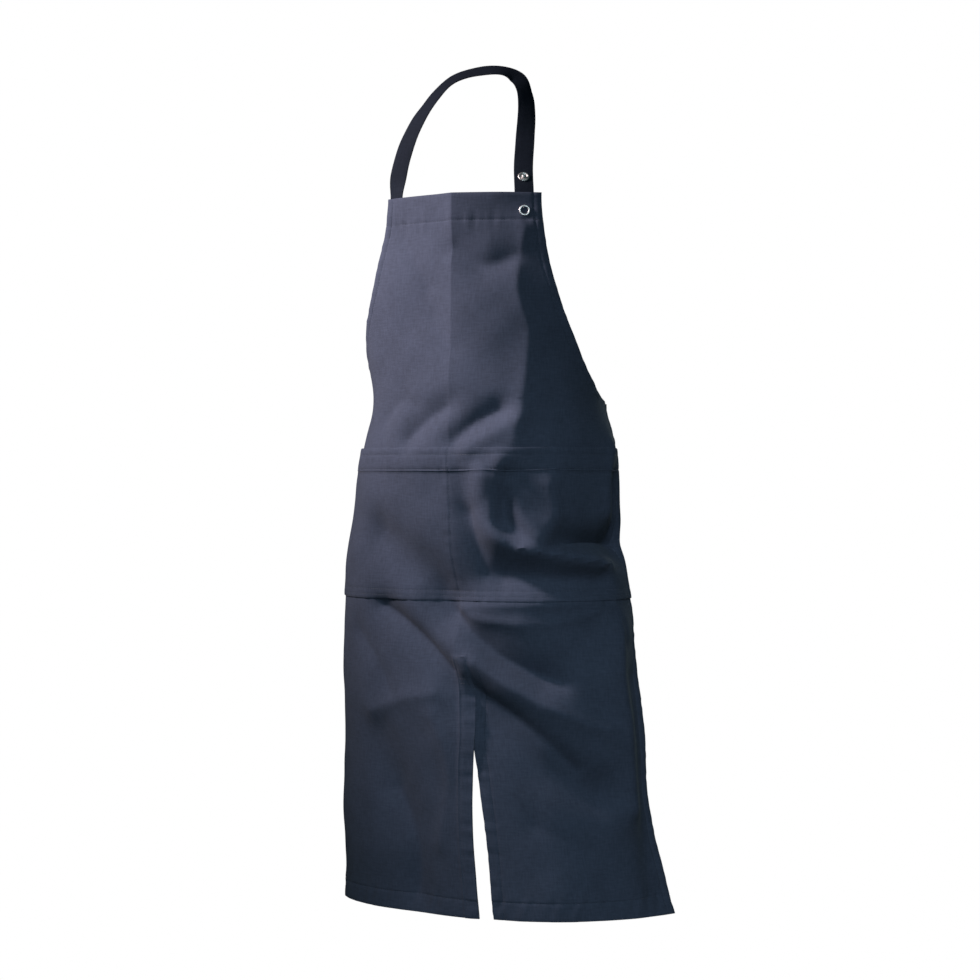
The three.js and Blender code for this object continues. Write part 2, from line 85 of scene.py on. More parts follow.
area_light("key_light", (0.0, -0.12, -0.32), -53, 36, 1.9, 0.25, 2.6, (1, 0.9, 0.9), beam=34)
area_light("front_fill", (0.16, -0.12, -0.87), 27, 30, 2.6, 1.0, 1.9, (0.68, 0.92, 1), beam=42)
area_light("back_light", (0, 0, -0.6), 196, 24, 2.4, 1.4, 16, (0.85, 0.96, 1))


class Shade:
    """A socket whose arithmetic adds Math nodes, and the one method that adds any other node."""

    def __init__(self, tree, socket=None):
        self.tree = tree
        self.socket = socket

    def node(self, kind, settings=None, inputs=None, out=0):
        """Adds a node with its settings and then its sockets' values, and wraps one output."""
        made = self.tree.nodes.new(kind)
        for name, value in (settings or {}).items():
            if name == "stops":
                stops = made.color_ramp.elements
                while len(stops) < len(value):
                    stops.new(1)
                for stop, (place, colour) in zip(stops, value):
                    stop.position = place
                    stop.color = colour
            else:
                setattr(made, name, value)
        for name, value in (inputs or {}).items():
            if isinstance(value, Shade):
                self.tree.links.new(value.socket, made.inputs[name])
            else:
                made.inputs[name].default_value = value
        return Shade(self.tree, made.outputs[out])

    def maths(self, operation, *values):
        return self.node("ShaderNodeMath", {"operation": operation}, dict(enumerate(values)))

    def __add__(self, other):
        return self.maths("ADD", self, other)

    def __sub__(self, other):
        return self.maths("SUBTRACT", self, other)

    def __mul__(self, other):
        return self.maths("MULTIPLY", self, other)

    def to(self, node, name):
        self.tree.links.new(self.socket, node.inputs[name])


sky = bpy.data.worlds.new("studio")
bpy.context.scene.world = sky
sky.use_nodes = True
room = Shade(sky.node_tree)
dim = room.node("ShaderNodeBackground", None, {"Color": (0.5, 0.93, 1, 1), "Strength": 0.035})
white = room.node("ShaderNodeBackground", None, {"Color": (1, 1, 1, 1), "Strength": 1.0})
to_camera = room.node("ShaderNodeLightPath", out="Is Camera Ray")
seen = room.node("ShaderNodeMixShader", None, {0: to_camera, 1: dim, 2: white})
seen.to(sky.node_tree.nodes["World Output"], "Surface")


def finish(name, colour, roughness, metallic=0.0, sheen=0.0):
    """A new material with its one colour, its shader, and a Shade that adds nodes to it."""
    made = bpy.data.materials.new(name)
    made.use_nodes = True
    shader = made.node_tree.nodes["Principled BSDF"]
    shader.inputs["Base Color"].default_value = (*colour, 1)
    shader.inputs["Roughness"].default_value = roughness
    shader.inputs["Metallic"].default_value = metallic
    shader.inputs["Sheen Weight"].default_value = sheen
    return made, shader, Shade(made.node_tree)


floor_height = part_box("apron_body")[0][2] - FLOOR_BELOW_HEM
bpy.ops.mesh.primitive_circle_add(
    vertices=96, radius=FLOOR_RADIUS, fill_type="NGON", location=(0, 0, floor_height)
)
floor = bpy.context.object
floor.name = "floor"
floor.data.materials.append(finish("pale_floor", (0.55, 0.57, 0.58), 0.8)[0])

# The apron's body is one piece of heavy navy cotton twill, cut with a curved armhole on each
# side and slit up the skirt just beside the middle. All its edges are turned twice to the
# inside and sewn. A pressed crease runs down its middle, and it lies round the body as worn.
APRON_LENGTH = 0.9
APRON_WIDTH = 0.55
BIB_TOP_WIDTH = 0.222
ARMHOLE_DROP = 0.254
ARMHOLE_ROUNDNESS = 1.85
SLIT_DROP = 0.608
SLIT_FROM_CREASE = 0.016
SLIT_SPREAD = 0.018
SLIT_OPENS = 0.655
SLIT_SPREAD_RUN = 0.17
SLIT_LAP = 0.0034
SLIT_OVERLAP = 0.0055
SLIT_LAP_RUN = 0.044
SLIT_OVERLAP_DROP = SLIT_OPENS + 0.013
SLIT_OVERLAP_RUN = 0.03
TACK_DROP = 0.573
CLOTH_THICKNESS = 0.0012
HEM_TURNING = 0.0009
HEM_STEP = 0.0015
EDGE_ROUNDING = 0.0012
TOP_HEM = 0.037
SIDE_HEM = 0.013
SLIT_HEM = 0.018
BOTTOM_HEM = 0.025
TOP_STITCH = 0.034
SIDE_STITCH = 0.0105
SLIT_STITCH = 0.0145
BOTTOM_STITCH = 0.0225
GROOVE = 0.0009
POCKET_DROP = 0.315
POCKET_HEIGHT = 0.19
POCKET_BAND = 0.029
POCKET_END = POCKET_DROP + POCKET_HEIGHT
SLIT_LINE = SLIT_FROM_CREASE + SLIT_STITCH
TACK_END = SLIT_DROP + 0.002
HEM_DROP = APRON_LENGTH - BOTTOM_HEM
LOW_LINE = APRON_LENGTH - BOTTOM_STITCH
BODY_DEPTH = 0.13
NECK_DROP = 0.175
CREASE_BLEND = 0.04
CELL = 0.0041
HALF_WIDTH = APRON_WIDTH / 2
HALF_BIB = BIB_TOP_WIDTH / 2
NAVY = (0.062, 0.071, 0.112)

# The cloth's level sections: how far down, to the front and aside they are, as shares of its
# sizes, and the angles in degrees by which it has turned back: at the crease, and the left and
# the right half at a third, two thirds and all of their width.
SECTIONS = [
    (0.0, 1.0, 0.0, 10, (36, 66, 100), (17, 60, 100)),
    (0.15, 1.05, 0.0, 8, (36, 76, 108), (14, 56, 100)),
    (0.28, 1.1, 0.0, 6, (35, 80, 112), (26, 62, 96)),
    (0.36, 1.13, 0.0, 6, (30, 72, 104), (23, 52, 88)),
    (0.56, 1.0, 0.0, 5, (26, 68, 100), (15, 37, 82)),
    (0.75, 0.92, 0.02, 4, (26, 63, 86), (13, 33, 75)),
    (0.87, 0.87, 0.035, 4, (26, 62, 86), (12, 29, 72)),
    (1.0, 0.82, 0.06, 4, (22, 50, 68), (11, 26, 68)),
]

# The folds: each one's width as a share of half the cloth's, its height as a share of the
# deepest fold, less than nothing for a dip, and its path's places, across as shares of half the
# width and down of the length. The sharp ones have a narrow crest, as a fold in stiff twill has.
DEEPEST_FOLD = 0.016
DEEPEST_SHARP_FOLD = 0.036
FOLDS = [
    (0.06, -0.3, (0.02, 0.34), (0.24, 0.3)),
    (0.05, 0.3, (0.1, 0.35), (0.32, 0.31)),
    (0.07, -0.35, (-0.01, 0.29), (-0.12, 0.31), (-0.24, 0.34)),
    (0.12, -0.85, (-0.44, 0.47), (-0.2, 0.515), (-0.03, 0.55)),
    (0.06, 0.7, (0.17, 0.39), (0.16, 0.43), (0.24, 0.476), (0.7, 0.51)),
    (0.06, -0.5, (0.27, 0.39), (0.25, 0.44), (0.3, 0.475)),
    (0.08, -0.8, (0.46, 0.484), (0.7, 0.48), (0.9, 0.482)),
    (0.07, -0.7, (0.25, 0.528), (0.45, 0.53), (0.7, 0.528)),
    (0.1, -0.75, (-0.09, 0.56), (0.07, 0.606), (0.22, 0.643), (0.38, 0.667)),
    (0.07, -0.45, (-0.4, 0.57), (-0.14, 0.636), (-0.04, 0.667)),
    (0.12, 0.6, (0.03, 0.613), (0.1, 0.64), (0.33, 0.693), (0.59, 0.778)),
    (0.1, -0.8, (0.08, 0.7), (0.26, 0.756), (0.39, 0.796), (0.62, 0.827)),
    (0.11, 0.6, (0.8, 0.61), (0.72, 0.667), (0.76, 0.75), (0.76, 0.84)),
    (0.08, -0.5, (0.93, 0.68), (0.93, 0.84), (0.9, 0.97)),
    (0.12, -0.5, (-0.5, 0.76), (-0.34, 0.84)),
    (0.12, -0.4, (-0.1, 0.836), (-0.25, 0.95)),
]
SHARP_FOLDS = [
    (0.09, 0.13, (-0.005, 0.0), (-0.005, 0.09)),
    (0.07, -0.14, (-0.32, 0.044), (-0.22, 0.09), (-0.14, 0.129)),
    (0.07, -0.24, (0.01, 0.076), (0.16, 0.1), (0.3, 0.088)),
    (0.08, 0.2, (0.33, 0.05), (0.3, 0.133), (0.36, 0.187), (0.35, 0.244), (0.31, 0.338)),
    (0.09, -0.1, (-0.11, 0.173), (0.01, 0.213)),
    (0.07, -0.12, (-0.42, 0.31), (-0.3, 0.285), (-0.2, 0.29)),
    (0.03, -0.1, (-0.02, 0.295), (-0.12, 0.31), (-0.25, 0.338)),
    (0.04, -0.12, (0.03, 0.34), (0.12, 0.318), (0.24, 0.3)),
    (0.05, 0.12, (0.39, 0.044), (0.46, 0.133)),
    (0.045, 0.22, (0.29, 0.4), (0.33, 0.44), (0.44, 0.486)),
    (0.075, 0.38, (0.46, 0.4), (0.475, 0.44), (0.43, 0.47)),
    (0.04, -0.3, (0.44, 0.487), (0.7, 0.482), (0.95, 0.486)),
    (0.042, 0.3, (0.25, 0.37), (0.22, 0.415), (0.205, 0.445), (0.225, 0.468), (0.32, 0.487),
     (0.52, 0.497), (0.78, 0.512)),
    (0.09, -0.38, (0.1, 0.44), (0.12, 0.47), (0.16, 0.52)),
    (0.05, 0.25, (0.88, 0.345), (0.8, 0.39), (0.79, 0.44)),
    (0.05, -0.25, (0.9, 0.4), (0.93, 0.46)),
    (0.03, 0.13, (0.02, 0.569), (0.3, 0.566), (0.7, 0.563)),
    (0.04, 0.18, (0.02, 0.572), (0.1, 0.585), (0.3, 0.592)),
    (0.022, 0.08, (0.34, 0.593), (0.5, 0.589), (0.66, 0.577), (0.78, 0.567)),
    (0.05, -0.3, (-0.02, 0.578), (0.08, 0.609), (0.2, 0.637), (0.34, 0.658), (0.48, 0.672)),
    (0.06, 0.3, (0.09, 0.643), (0.24, 0.675), (0.46, 0.714), (0.66, 0.738)),
    (0.04, -0.15, (0.72, 0.57), (0.8, 0.585), (0.82, 0.62)),
    (0.035, -0.22, (-0.46, 0.57), (-0.3, 0.592), (-0.14, 0.626), (-0.03, 0.655)),
    (0.07, -0.14, (-0.62, 0.61), (-0.48, 0.65), (-0.4, 0.69)),
    (0.07, 0.22, (-0.52, 0.72), (-0.3, 0.7), (-0.12, 0.69)),
    (0.05, -0.3, (0.06, 0.68), (0.2, 0.706), (0.36, 0.742), (0.52, 0.79)),
    (0.1, 0.34, (0.8, 0.585), (0.765, 0.66), (0.775, 0.75), (0.78, 0.85)),
    (0.09, -0.14, (0.3, 0.87), (0.5, 0.9), (0.62, 0.95)),
    (0.09, -0.3, (-0.4, 0.83), (-0.28, 0.9), (-0.3, 0.97)),
    (0.08, 0.22, (-0.14, 0.72), (-0.06, 0.8), (-0.12, 0.9)),
]


def smooth(x):
    s = np.clip(x, 0, 1)
    return s * s * (3 - 2 * s)


def curve_through(places, values, at):
    """A curve through a table's values, with the mean slope at each of them."""
    places = np.asarray(places, float)
    values = np.asarray(values, float)
    last = len(places) - 1
    before = np.maximum(np.arange(last + 1) - 1, 0)
    after = np.minimum(np.arange(last + 1) + 1, last)
    slopes = (values[after] - values[before]) / (places[after] - places[before])
    x = np.clip(at, places[0], places[-1])
    i = np.clip(np.searchsorted(places, x, side="left") - 1, 0, last - 1)
    step = places[i + 1] - places[i]
    s = (x - places[i]) / step
    rise = smooth(s)
    bend = step * s * (1 - s) * (slopes[i] * (1 - s) - slopes[i + 1] * s)
    return values[i] * (1 - rise) + values[i + 1] * rise + bend


DOWNS, FRONTS, ASIDES, CREASES, LEFT_TURNS, RIGHT_TURNS = zip(*SECTIONS)

# Each half of the sections is a walk away from the crease, for many levels at once
WALK_STEPS = 60
LEVELS = np.linspace(0, 1, 361)


def walk(turns_back):
    measures = (CREASES, *zip(*turns_back))
    turns = np.stack([curve_through(DOWNS, measure, LEVELS) for measure in measures])
    knots = np.arange(WALK_STEPS + 1) / WALK_STEPS
    middles = knots[:-1] + 0.5 / WALK_STEPS
    places = (0, 1 / 3, 2 / 3, 1)
    headings = np.radians([curve_through(places, turn, middles) for turn in turns.T])
    step = HALF_WIDTH / WALK_STEPS
    start = np.zeros((len(LEVELS), 1))
    return (
        np.hstack([start, np.cumsum(np.cos(headings) * step, axis=1)]),
        np.hstack([start, np.cumsum(np.sin(headings) * step, axis=1)]),
        np.array([curve_through(places, turn, knots) for turn in turns.T]),
    )


RIGHT_WALK = walk(RIGHT_TURNS)
LEFT_WALK = walk(LEFT_TURNS)


def read_walk(grid, level, along):
    """Reads a walk's table between its levels and steps."""
    i = np.clip(np.floor(level).astype(int), 0, grid.shape[0] - 2)
    j = np.clip(np.floor(along).astype(int), 0, grid.shape[1] - 2)
    u = np.clip(level - i, 0, 1)
    v = np.clip(along - j, 0, 1.2)
    top = grid[i, j] * (1 - v) + grid[i, j + 1] * v
    low = grid[i + 1, j] * (1 - v) + grid[i + 1, j + 1] * v
    return top * (1 - u) + low * u


def path_points(points, count):
    """A smooth path through points of the flat cloth."""
    p = np.asarray(points, float)
    p = np.vstack([2 * p[0] - p[1], p, 2 * p[-1] - p[-2]])
    out = []
    for x in np.linspace(0, len(p) - 3, count + 1):
        i = min(int(x), len(p) - 4)
        t = x - i
        a, b, c, d = p[i : i + 4]
        bend = (2 * a - 5 * b + 4 * c - d) * t**2 + (3 * b - a - 3 * c + d) * t**3
        out.append(0.5 * (2 * b + (c - a) * t + bend))
    return np.array(out)


def distance_to(path, across, down):
    """How far places of the flat cloth are from a path over it."""
    nearest = np.full(np.shape(across), 1e9)
    for a, b in zip(path[:-1], path[1:]):
        run = b - a
        along = ((across - a[0]) * run[0] + (down - a[1]) * run[1]) / (run @ run)
        along = np.clip(along, 0, 1)
        gone = np.hypot(across - a[0] - along * run[0], down - a[1] - along * run[1])
        nearest = np.minimum(nearest, gone)
    return nearest


FOLD_STEPS = 12
CREST = 0.14
SIZES = np.array([HALF_WIDTH, APRON_LENGTH])
WAVES = np.random.default_rng(7)
WAVE_LENGTHS = np.geomspace(0.035, 0.17, 26)
WAVE_TURNS = WAVES.uniform(0, math.pi, len(WAVE_LENGTHS))
WAVE_STARTS = WAVES.uniform(0, 2 * math.pi, len(WAVE_LENGTHS))
WAVE_HEIGHT = 0.00042
WAVE_GROWTH = 1.2


def bump_at(distance, width):
    return np.exp(-((distance / width) ** 2))


def fold_lift(across, down):
    """How far the folds and the cloth's slight waves lift each place of it."""
    lift = np.zeros(np.shape(across))
    for folds, deepest in ((FOLDS, DEEPEST_FOLD), (SHARP_FOLDS, DEEPEST_SHARP_FOLD)):
        for width, height, *places in folds:
            path = path_points(np.array(places) * SIZES, FOLD_STEPS)
            far = distance_to(path, across, down) / (width * HALF_WIDTH)
            sharp = np.exp(CREST - np.sqrt(far**2 + CREST**2))
            lift += height * deepest * (sharp if folds is SHARP_FOLDS else bump_at(far, 1))
    for length, turn, start in zip(WAVE_LENGTHS, WAVE_TURNS, WAVE_STARTS):
        along = across * math.cos(turn) + down * math.sin(turn)
        height = WAVE_HEIGHT * (length / WAVE_LENGTHS[-1]) ** WAVE_GROWTH
        lift += height * np.sin(2 * math.pi * along / length + start)
    return lift


def half_width(down):
    """How wide half of the cut cloth is: it widens along the armhole's curve."""
    share = np.clip(np.asarray(down, float) / ARMHOLE_DROP, 0, 1)
    rest = (1 - share**ARMHOLE_ROUNDNESS) ** (1 / ARMHOLE_ROUNDNESS)
    return HALF_WIDTH - (HALF_WIDTH - HALF_BIB) * rest


def cloth_place(across, down, side):
    """Where places of the flat cloth lie. Below the slit's top the two sides are apart."""
    share = np.clip(down / APRON_LENGTH, 0, 1)
    away = np.abs(across)
    on_right = across < 0
    level = share * (len(LEVELS) - 1)
    along = away / HALF_WIDTH * WALK_STEPS
    x, y, turned = (
        np.where(on_right, read_walk(right, level, along), read_walk(left, level, along))
        for right, left in zip(RIGHT_WALK, LEFT_WALK)
    )
    heading = np.radians(turned * smooth(away / CREASE_BLEND))
    near_slit = 1 - smooth(np.abs(across - SLIT_FROM_CREASE) / HALF_WIDTH)
    apart = SLIT_SPREAD * smooth((down - SLIT_OPENS) / SLIT_SPREAD_RUN) * near_slit
    apart -= SLIT_OVERLAP * bump_at(down - SLIT_OVERLAP_DROP, SLIT_OVERLAP_RUN) * near_slit
    under = SLIT_LAP * smooth((down - SLIT_DROP) / SLIT_LAP_RUN) * near_slit * (side > 0)
    lift = fold_lift(across, down)
    aside = curve_through(DOWNS, ASIDES, share) * HALF_WIDTH
    front = curve_through(DOWNS, FRONTS, share) * BODY_DEPTH
    out = np.where(on_right, -1, 1) * (x + lift * np.sin(heading))
    ends = (aside + out + side * apart / 2, y - front - lift * np.cos(heading) + under)
    return np.stack([*ends, -NECK_DROP - down], axis=-1)


PROBE = 0.001


def cloth_normal(across, down, side):
    over = cloth_place(across + PROBE, down, side) - cloth_place(across - PROBE, down, side)
    below = cloth_place(across, down + PROBE, side) - cloth_place(across, down - PROBE, side)
    normal = np.cross(below, over)
    return normal / np.linalg.norm(normal, axis=-1, keepdims=True)


def off_cloth(across, down, side, out):
    """Places on the cloth, moved out of its front face."""
    across, down, side, out = np.broadcast_arrays(across, down, side, out)
    return cloth_place(across, down, side) + cloth_normal(across, down, side) * out[..., None]


def between(marks, cell=CELL):
    """Even steps between marks, about a cell long, with each mark kept."""
    places = [marks[0]]
    for a, b in zip(marks[:-1], marks[1:]):
        count = max(1, round((b - a) / cell))
        places += [a + (b - a) * k / count for k in range(1, count + 1)]
    return np.array(places)


def sewn(place):
    return [place - GROOVE, place, place + GROOVE]


# The body's rows from the bib's top to the hem, with a line at every step and stitched line
armhole_angles = np.linspace(math.asin(TOP_HEM / ARMHOLE_DROP), math.pi / 2, 64)
rows = np.concatenate(
    [
        between([0, EDGE_ROUNDING, *sewn(TOP_STITCH), TOP_HEM - HEM_STEP / 3])[:-1],
        ARMHOLE_DROP * np.sin(armhole_angles)[:-1],
        between([ARMHOLE_DROP, POCKET_DROP, POCKET_END, TACK_DROP - HEM_STEP, TACK_DROP])[:-1],
        between([TACK_DROP, SLIT_DROP, HEM_DROP - HEM_STEP, HEM_DROP])[:-1],
        between([HEM_DROP, *sewn(LOW_LINE)])[:-1],
        between([LOW_LINE + GROOVE, APRON_LENGTH - EDGE_ROUNDING, APRON_LENGTH]),
    ]
)


def half_columns(marks, inner, downs):
    """Columns from the slit's edge to the side's, set to each row's own half width."""
    full = between(marks)
    hem = full >= HALF_WIDTH - SIDE_HEM - HEM_STEP / 3
    share = (full - inner) / (HALF_WIDTH - SIDE_HEM - inner)
    return np.array(
        [
            np.where(
                full <= inner,
                full,
                np.where(
                    hem, full - HALF_WIDTH + width, inner + share * (width - SIDE_HEM - inner)
                ),
            )
            for width in half_width(downs)
        ]
    )


side_marks = [
    HALF_WIDTH - SIDE_HEM - HEM_STEP,
    HALF_WIDTH - SIDE_HEM,
    *sewn(HALF_WIDTH - SIDE_STITCH),
    HALF_WIDTH - EDGE_ROUNDING,
    HALF_WIDTH,
]
LEFT_INNER = SLIT_FROM_CREASE + SLIT_HEM
RIGHT_INNER = SLIT_HEM - SLIT_FROM_CREASE
left_marks = [
    SLIT_FROM_CREASE,
    SLIT_FROM_CREASE + EDGE_ROUNDING,
    *sewn(SLIT_LINE),
    LEFT_INNER,
    LEFT_INNER + HEM_STEP,
    *side_marks,
]
right_marks = [
    -SLIT_FROM_CREASE,
    EDGE_ROUNDING - SLIT_FROM_CREASE,
    -GROOVE,
    0,
    GROOVE,
    RIGHT_INNER,
    RIGHT_INNER + HEM_STEP,
    *side_marks,
]


def columns(downs):
    """The columns of rows on the wearer's right and left of the slit, from right to left."""
    right = -half_columns(right_marks, RIGHT_INNER, downs)[:, ::-1]
    return right, half_columns(left_marks, LEFT_INNER, downs)


edge_angles = np.linspace(0, math.pi / 2, 60)
edge_downs = np.append(ARMHOLE_DROP * np.sin(edge_angles), APRON_LENGTH)
EDGE_PATH = np.stack([half_width(edge_downs), edge_downs], axis=-1)


def ripple(x, height, pitch, start):
    """An uneven wave along a seam, as sewn cloth puckers."""
    wave = 0.6 * np.sin(2 * np.pi * x / pitch + start)
    wave += 0.4 * np.sin(2 * np.pi * x / (pitch * 0.618) + 2.1 * start)
    return height * wave * (0.65 + 0.35 * np.sin(2 * np.pi * x / (pitch * 4.3) + 3 * start))


# Each seam's puckers: their wave's height, pitch and start, and how far they reach
SIDE_PUCKERS, SIDE_REACH = (0.0007, 0.019, 1.0), 0.009
TOP_PUCKERS, TOP_REACH = (0.0006, 0.021, 2.0), 0.01
LOW_PUCKERS, LOW_REACH = (0.0015, 0.023, 3.0), 0.015
PLACKET_PUCKERS, PLACKET_REACH = (0.0014, 0.02, 4.0), 0.02
FACING_PUCKERS, FACING_REACH = (0.0012, 0.021, 5.0), 0.015
GROOVE_DEPTH = 0.0007
TOP_GROOVE_SHARE = 0.6
PLACKET_HEIGHT = 0.0015
TACK_GROOVE = 0.0015
TACK_WIDTH = 0.0015
TACK_FADE = 0.004
FACING_RUN = 0.01
RIM_DROP = 0.0005


def body_relief(across, down, side):
    """The body's low relief: grooves at the stitches, puckered hems and the slit's placket."""
    edge = distance_to(EDGE_PATH, np.abs(across), down)
    low = down - LOW_LINE
    out = -GROOVE_DEPTH * (
        bump_at(edge - SIDE_STITCH, GROOVE)
        + TOP_GROOVE_SHARE * bump_at(down - TOP_STITCH, GROOVE)
        + bump_at(low, GROOVE)
    )
    out += ripple(down, *SIDE_PUCKERS) * bump_at(edge - SIDE_STITCH / 2, SIDE_REACH)
    out += ripple(across, *TOP_PUCKERS) * bump_at(down - TOP_STITCH, TOP_REACH)
    out += ripple(across + down / 2, *LOW_PUCKERS) * bump_at(low - 0.006, LOW_REACH)
    placket = (side < 0) * smooth((down - TACK_DROP) / HEM_STEP + 1)
    out += PLACKET_HEIGHT * placket * smooth((across + RIGHT_INNER) / HEM_STEP + 1)
    out += placket * ripple(down, *PLACKET_PUCKERS) * smooth((across + 0.006) / PLACKET_REACH)
    out -= GROOVE_DEPTH * placket * bump_at(across, GROOVE)
    tack = smooth((down - TACK_DROP) / TACK_FADE) * smooth((TACK_END - down) / TACK_FADE)
    from_slit = across - SLIT_FROM_CREASE
    out -= TACK_GROOVE * tack * bump_at(from_slit, TACK_WIDTH)
    facing = (side > 0) * smooth((down - SLIT_DROP) / FACING_RUN)
    out -= GROOVE_DEPTH * facing * bump_at(across - SLIT_LINE, GROOVE)
    out += facing * ripple(down, *FACING_PUCKERS) * bump_at(from_slit, FACING_REACH)
    rim = edge < EDGE_ROUNDING / 2
    rim = rim | (down < EDGE_ROUNDING / 2) | (down > APRON_LENGTH - EDGE_ROUNDING / 2)
    return out - RIM_DROP * rim


def body_wall(across, down):
    """How thick the body is: its hems are turned to the inside."""
    edge = half_width(down) - np.abs(across)
    from_slit = np.abs(across - SLIT_FROM_CREASE)
    turned = (
        (edge < SIDE_HEM + HEM_STEP / 3)
        | (down < TOP_HEM - HEM_STEP / 3)
        | (down > APRON_LENGTH - BOTTOM_HEM - HEM_STEP / 3)
        | ((down > TACK_DROP - HEM_STEP / 3) & (from_slit < SLIT_HEM + HEM_STEP / 3))
    )
    return CLOTH_THICKNESS + HEM_TURNING * turned


def closed_wall(name, front, back, cells, flat):
    """Closes a sheet of four-cornered cells into a wall, with its cut's places as the UV map."""
    count = len(front)
    faces = []
    edges = {}
    for a, b, c, d in cells.tolist():
        faces += [(a, b, c, d), (count + a, count + d, count + c, count + b)]
        for p, q in ((a, b), (b, c), (c, d), (d, a)):
            if not edges.pop((q, p), False):
                edges[(p, q)] = True
    faces += [(q, p, count + p, count + q) for p, q in edges]
    return mesh_piece(name, np.vstack([front, back]), faces, np.vstack([flat, flat]))


def mesh_piece(name, points, faces, flat=None, angle=50):
    """A new piece from points and faces, smooth but for edges sharper than an angle."""
    mesh = bpy.data.meshes.new(name)
    mesh.from_pydata(np.asarray(points).tolist(), [], faces)
    if flat is not None:
        corners = np.empty(len(mesh.loops), dtype=int)
        mesh.loops.foreach_get("vertex_index", corners)
        cut = mesh.uv_layers.new(name="cut")
        cut.data.foreach_set("uv", np.asarray(flat)[corners].astype(np.float32).ravel())
    made = bpy.data.objects.new(name, mesh)
    bpy.context.collection.objects.link(made)
    bpy.ops.object.select_all(action="DESELECT")
    bpy.context.view_layer.objects.active = made
    made.select_set(True)
    bpy.ops.object.shade_smooth_by_angle(angle=math.radians(angle))
    return made


def strip_cells(numbers):
    """The four-cornered cells of a grid of point numbers."""
    corners = (numbers[:-1, :-1], numbers[1:, :-1], numbers[1:, 1:], numbers[:-1, 1:])
    return np.stack(corners, axis=-1).reshape(-1, 4)


# Above the slit's top the two sides of the grid share the slit's column
right_columns, left_columns = columns(rows)
body_across = np.hstack([right_columns, left_columns])
body_down = np.repeat(rows[:, None], body_across.shape[1], axis=1)
body_side = np.hstack([-np.ones_like(right_columns), np.ones_like(left_columns)])
numbers = np.arange(body_across.size).reshape(body_across.shape)
split = right_columns.shape[1]
unsplit = rows < SLIT_DROP + PROBE / 2
numbers[unsplit, split] = numbers[unsplit, split - 1]
body_cells = np.vstack([strip_cells(numbers[:, :split]), strip_cells(numbers[:, split:])])
used, body_cells = np.unique(body_cells, return_inverse=True)
body_places = (body_across, body_down, body_side)
body_front = off_cloth(*body_places, body_relief(*body_places))
body_back = off_cloth(*body_places, -body_wall(body_across, body_down))
apron_cloth = closed_wall(
    "apron_cloth",
    body_front.reshape(-1, 3)[used],
    body_back.reshape(-1, 3)[used],
    body_cells.reshape(-1, 4),
    np.stack([body_across, -body_down], axis=-1).reshape(-1, 2)[used],
)

TWILL_PITCH = 0.0011
TWILL_TURN = math.radians(58)
TWILL_RELIEF = 0.00025
twill, twill_shader, cloth = finish("navy_twill", NAVY, 0.88, sheen=0.05)
twill_shader.inputs["Sheen Roughness"].default_value = 0.45
twill_shader.inputs["Specular IOR Level"].default_value = 0.22


def weave(cloth, shader, colour):
    """Weaves a material: diagonal twill lines, uneven yarns and a slight fading of the dye."""
    place = cloth.node("ShaderNodeUVMap", {"uv_map": "cut"})
    across = place.node("ShaderNodeSeparateXYZ", None, {0: place})
    down = Shade(cloth.tree, across.socket.node.outputs[1])

    def yarns(wide, tall):
        moved = place.node("ShaderNodeMapping", None, {"Vector": place, "Scale": (wide, tall, 1)})
        settings = {"Vector": moved, "Scale": 1.0, "Detail": 2.0}
        return place.node("ShaderNodeTexNoise", None, settings)

    uneven = yarns(460, 80) * 0.5 + yarns(80, 460) * 0.5
    step_across = 2 * math.pi / TWILL_PITCH * math.cos(TWILL_TURN)
    step_down = 2 * math.pi / TWILL_PITCH * math.sin(TWILL_TURN)
    phase = across * step_across + down * step_down + uneven * 5
    line = phase.maths("SINE", phase) * 0.5 + 0.5
    faded = yarns(9, 9) * 0.6 + yarns(34, 34) * 0.4
    tone = uneven * 0.85 + faded * 0.5 + line * 0.1 - 0.1
    darker = tuple(0.72 * c for c in colour) + (1,)
    lighter = tuple(1.3 * c for c in colour) + (1,)
    dye = cloth.node("ShaderNodeValToRGB", {"stops": [(0.35, darker), (0.9, lighter)]}, {0: tone})
    dye.to(shader, "Base Color")
    height = line * 0.6 + uneven * 0.9
    settings = {"Strength": 0.8, "Distance": TWILL_RELIEF, "Height": height}
    cloth.node("ShaderNodeBump", None, settings).to(shader, "Normal")


weave(cloth, twill_shader, NAVY)
apron_cloth.data.materials.append(twill)
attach(apron_cloth, "root")
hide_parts("apron_body")

# The pocket is a second piece of the twill, sewn on over the whole width, with a turned band
# along its mouth and a seam down its middle that makes two pockets of it.
POCKET_STAND_OFF = 0.0003
POCKET_GAPE = 0.0018
BAND_STITCH = POCKET_DROP + POCKET_BAND - 0.0022
MOUTH_STITCH = POCKET_DROP + 0.0085
LOW_STITCH = POCKET_END - 0.0055
HIGH_STITCH = POCKET_END - 0.0125
POCKET_STITCHES = ((MOUTH_STITCH, 0.6), (BAND_STITCH, 1), (HIGH_STITCH, 0.45), (LOW_STITCH, 0.45))
BAND_EASE = 0.03
MIDDLE_GROOVE_DEPTH = 0.0006
POCKET_LOW_PUCKERS, POCKET_LOW_REACH = (0.0005, 0.022, 6.0), 0.016
BAND_PUCKERS, BAND_REACH = (0.0005, 0.02, 7.0), 0.01
MIDDLE_PUCKERS, MIDDLE_REACH = (0.0005, 0.018, 8.0), 0.008
PRESSED_RUN = 0.006


def pocket_gap(across, down):
    """How far the pocket's back stands off the body: most at the middle of each mouth."""
    share = np.clip(np.abs(across) / (half_width(down) - SIDE_HEM), 0, 1)
    depth = (down - POCKET_DROP) / POCKET_HEIGHT
    fullness = np.sin(np.pi * share) ** 2 * (1 - smooth(depth) ** 2)
    return POCKET_STAND_OFF + POCKET_GAPE * fullness


